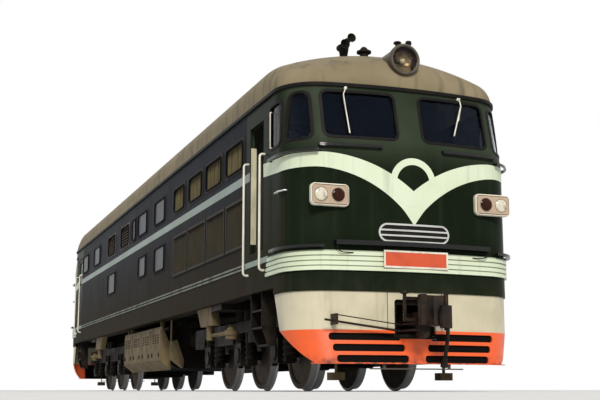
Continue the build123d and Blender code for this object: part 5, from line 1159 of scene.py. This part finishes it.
# %% [markdown]
# The apron's middle is a separate panel round the coupler, and its seams show. Thin wire loops hang under
# the ends of the nose ledge, the coupler's lock gear ends in a flanged cap, and the handle of the brake
# cock curves down beside it.

# %% Apron seams, wire loops and coupler fittings
loop_line = [(1.075, 1.826, 0.075), (1.068, 1.79, 0.078), (1.045, 1.752, 0.074)]
loop_line += [(1.01, 1.735, 0.066), (0.93, 1.730, 0.050), (0.85, 1.733, 0.032)]
cap_foot = (10.2725, -0.318, 1.190)
cap_shape = [(0.0, 0.018), (0.008, 0.030), (0.010, 0.052), (0.022, 0.052)]
cap_shape += [(0.026, 0.026), (0.040, 0.022), (0.050, 0.0)]
lever_line = [(10.005, 0.352, 1.035), (10.045, 0.362, 1.040), (10.055, 0.385, 1.005)]
lever_line += [(10.055, 0.408, 0.955), (10.052, 0.430, 0.905)]
for end in ENDS:
    for name, side in SIDES.items():
        upright_seam(f"apron_seam_{end}_{name}", end, side * 0.386, 0.004, -0.0188, 0.78, 1.248)
        loop = turned_about([on_nose(side * walk, z, out) for walk, z, out in loop_line], end)
        rods(f"ledge_loop_{end}_{name}", [loop], 0.007, "trim_black")
    turned(f"lock_cap_{end}", turned_point(cap_foot, end), (0, 0, 1), cap_shape, "coupler_iron", steps=28)
    rods(f"cock_lever_{end}", [turned_about(lever_line, end)], 0.008, "trim_black")
print("apron seams, loops and coupler fittings at", len(ENDS), "ends")

# %% [markdown]
# Every axlebox hangs on two coil springs. The frame holds each as a plain drum for its weight; here a real
# coil is wound round it: a steel rod that climbs in a helix with flattened ends.

# %% Coil springs
black_paint("spring_black", (0.020, 0.018, 0.016), (0.070, 0.055, 0.040), 0.6).done()
spring_low, spring_high, coil_radius, rod_radius, coils, coil_steps = 0.472, 0.902, 0.081, 0.0165, 5.5, 16
axle_places, spring_aside, spring_y = (7.8, 6.0, 4.2), 0.256, 1.055


def coil(x, y):
    """The line of one spring, with half a flat turn at its foot and head."""
    line = []
    steps = int(coils * coil_steps)
    for i in range(steps + 1):
        turns = i / coil_steps
        climb = min(1, max(0, (turns - 0.5) / (coils - 1)))
        z = spring_low + rod_radius + climb * (spring_high - spring_low - 2 * rod_radius)
        angle = 2 * math.pi * turns
        line.append((x + coil_radius * math.cos(angle), y + coil_radius * math.sin(angle), z))
    return line


for end in ENDS:
    flip = 1 if end == "front" else -1
    along = [axle_x + aside for axle_x in axle_places for aside in (-spring_aside, spring_aside)]
    lines = [coil(flip * x, y) for x in along for y in (-spring_y, spring_y)]
    rods(f"coil_springs_{end}", lines, rod_radius, "spring_black", f"bogie_{end}", sides=1)
print("coil springs", 2 * len(lines))

# %% [markdown]
# The brake hose hangs beside each coupler: a stiff rubber hose of about 0.7 m that leaves its cock straight
# ahead and falls under its own weight to a loose coupling head. Its line is one smooth curve through the
# same route as the solid.

# %% Brake hoses
hose_route = [
    (9.990, 0.330, 0.985),
    (10.110, 0.330, 0.985),
    (10.190, 0.322, 0.885),
    (10.205, 0.314, 0.760),
    (10.195, 0.308, 0.640),
    (10.170, 0.303, 0.520),
    (10.135, 0.299, 0.410),
]
hose_width = 0.05
for end in ENDS:
    curve = bpy.data.curves.new(f"brake_hose_skin_{end}", "CURVE")
    curve.dimensions = "3D"
    curve.bevel_depth = hose_width / 2
    curve.bevel_resolution = 5
    curve.resolution_u = 16
    curve.use_fill_caps = True
    route = turned_about(hose_route, end)
    spline = curve.splines.new("NURBS")
    spline.points.add(len(route) - 1)
    for knot, point in zip(spline.points, route):
        knot.co = (*point, 1)
    spline.order_u = 3
    spline.use_endpoint_u = True
    curve.materials.append(finishes["hose_rubber"])
    hose = bpy.data.objects.new(f"brake_hose_skin_{end}", curve)
    scene.collection.objects.link(hose)
    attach(hose, "root")
    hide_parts(f"brake_hose_{end}")
print("brake hoses", len(ENDS))
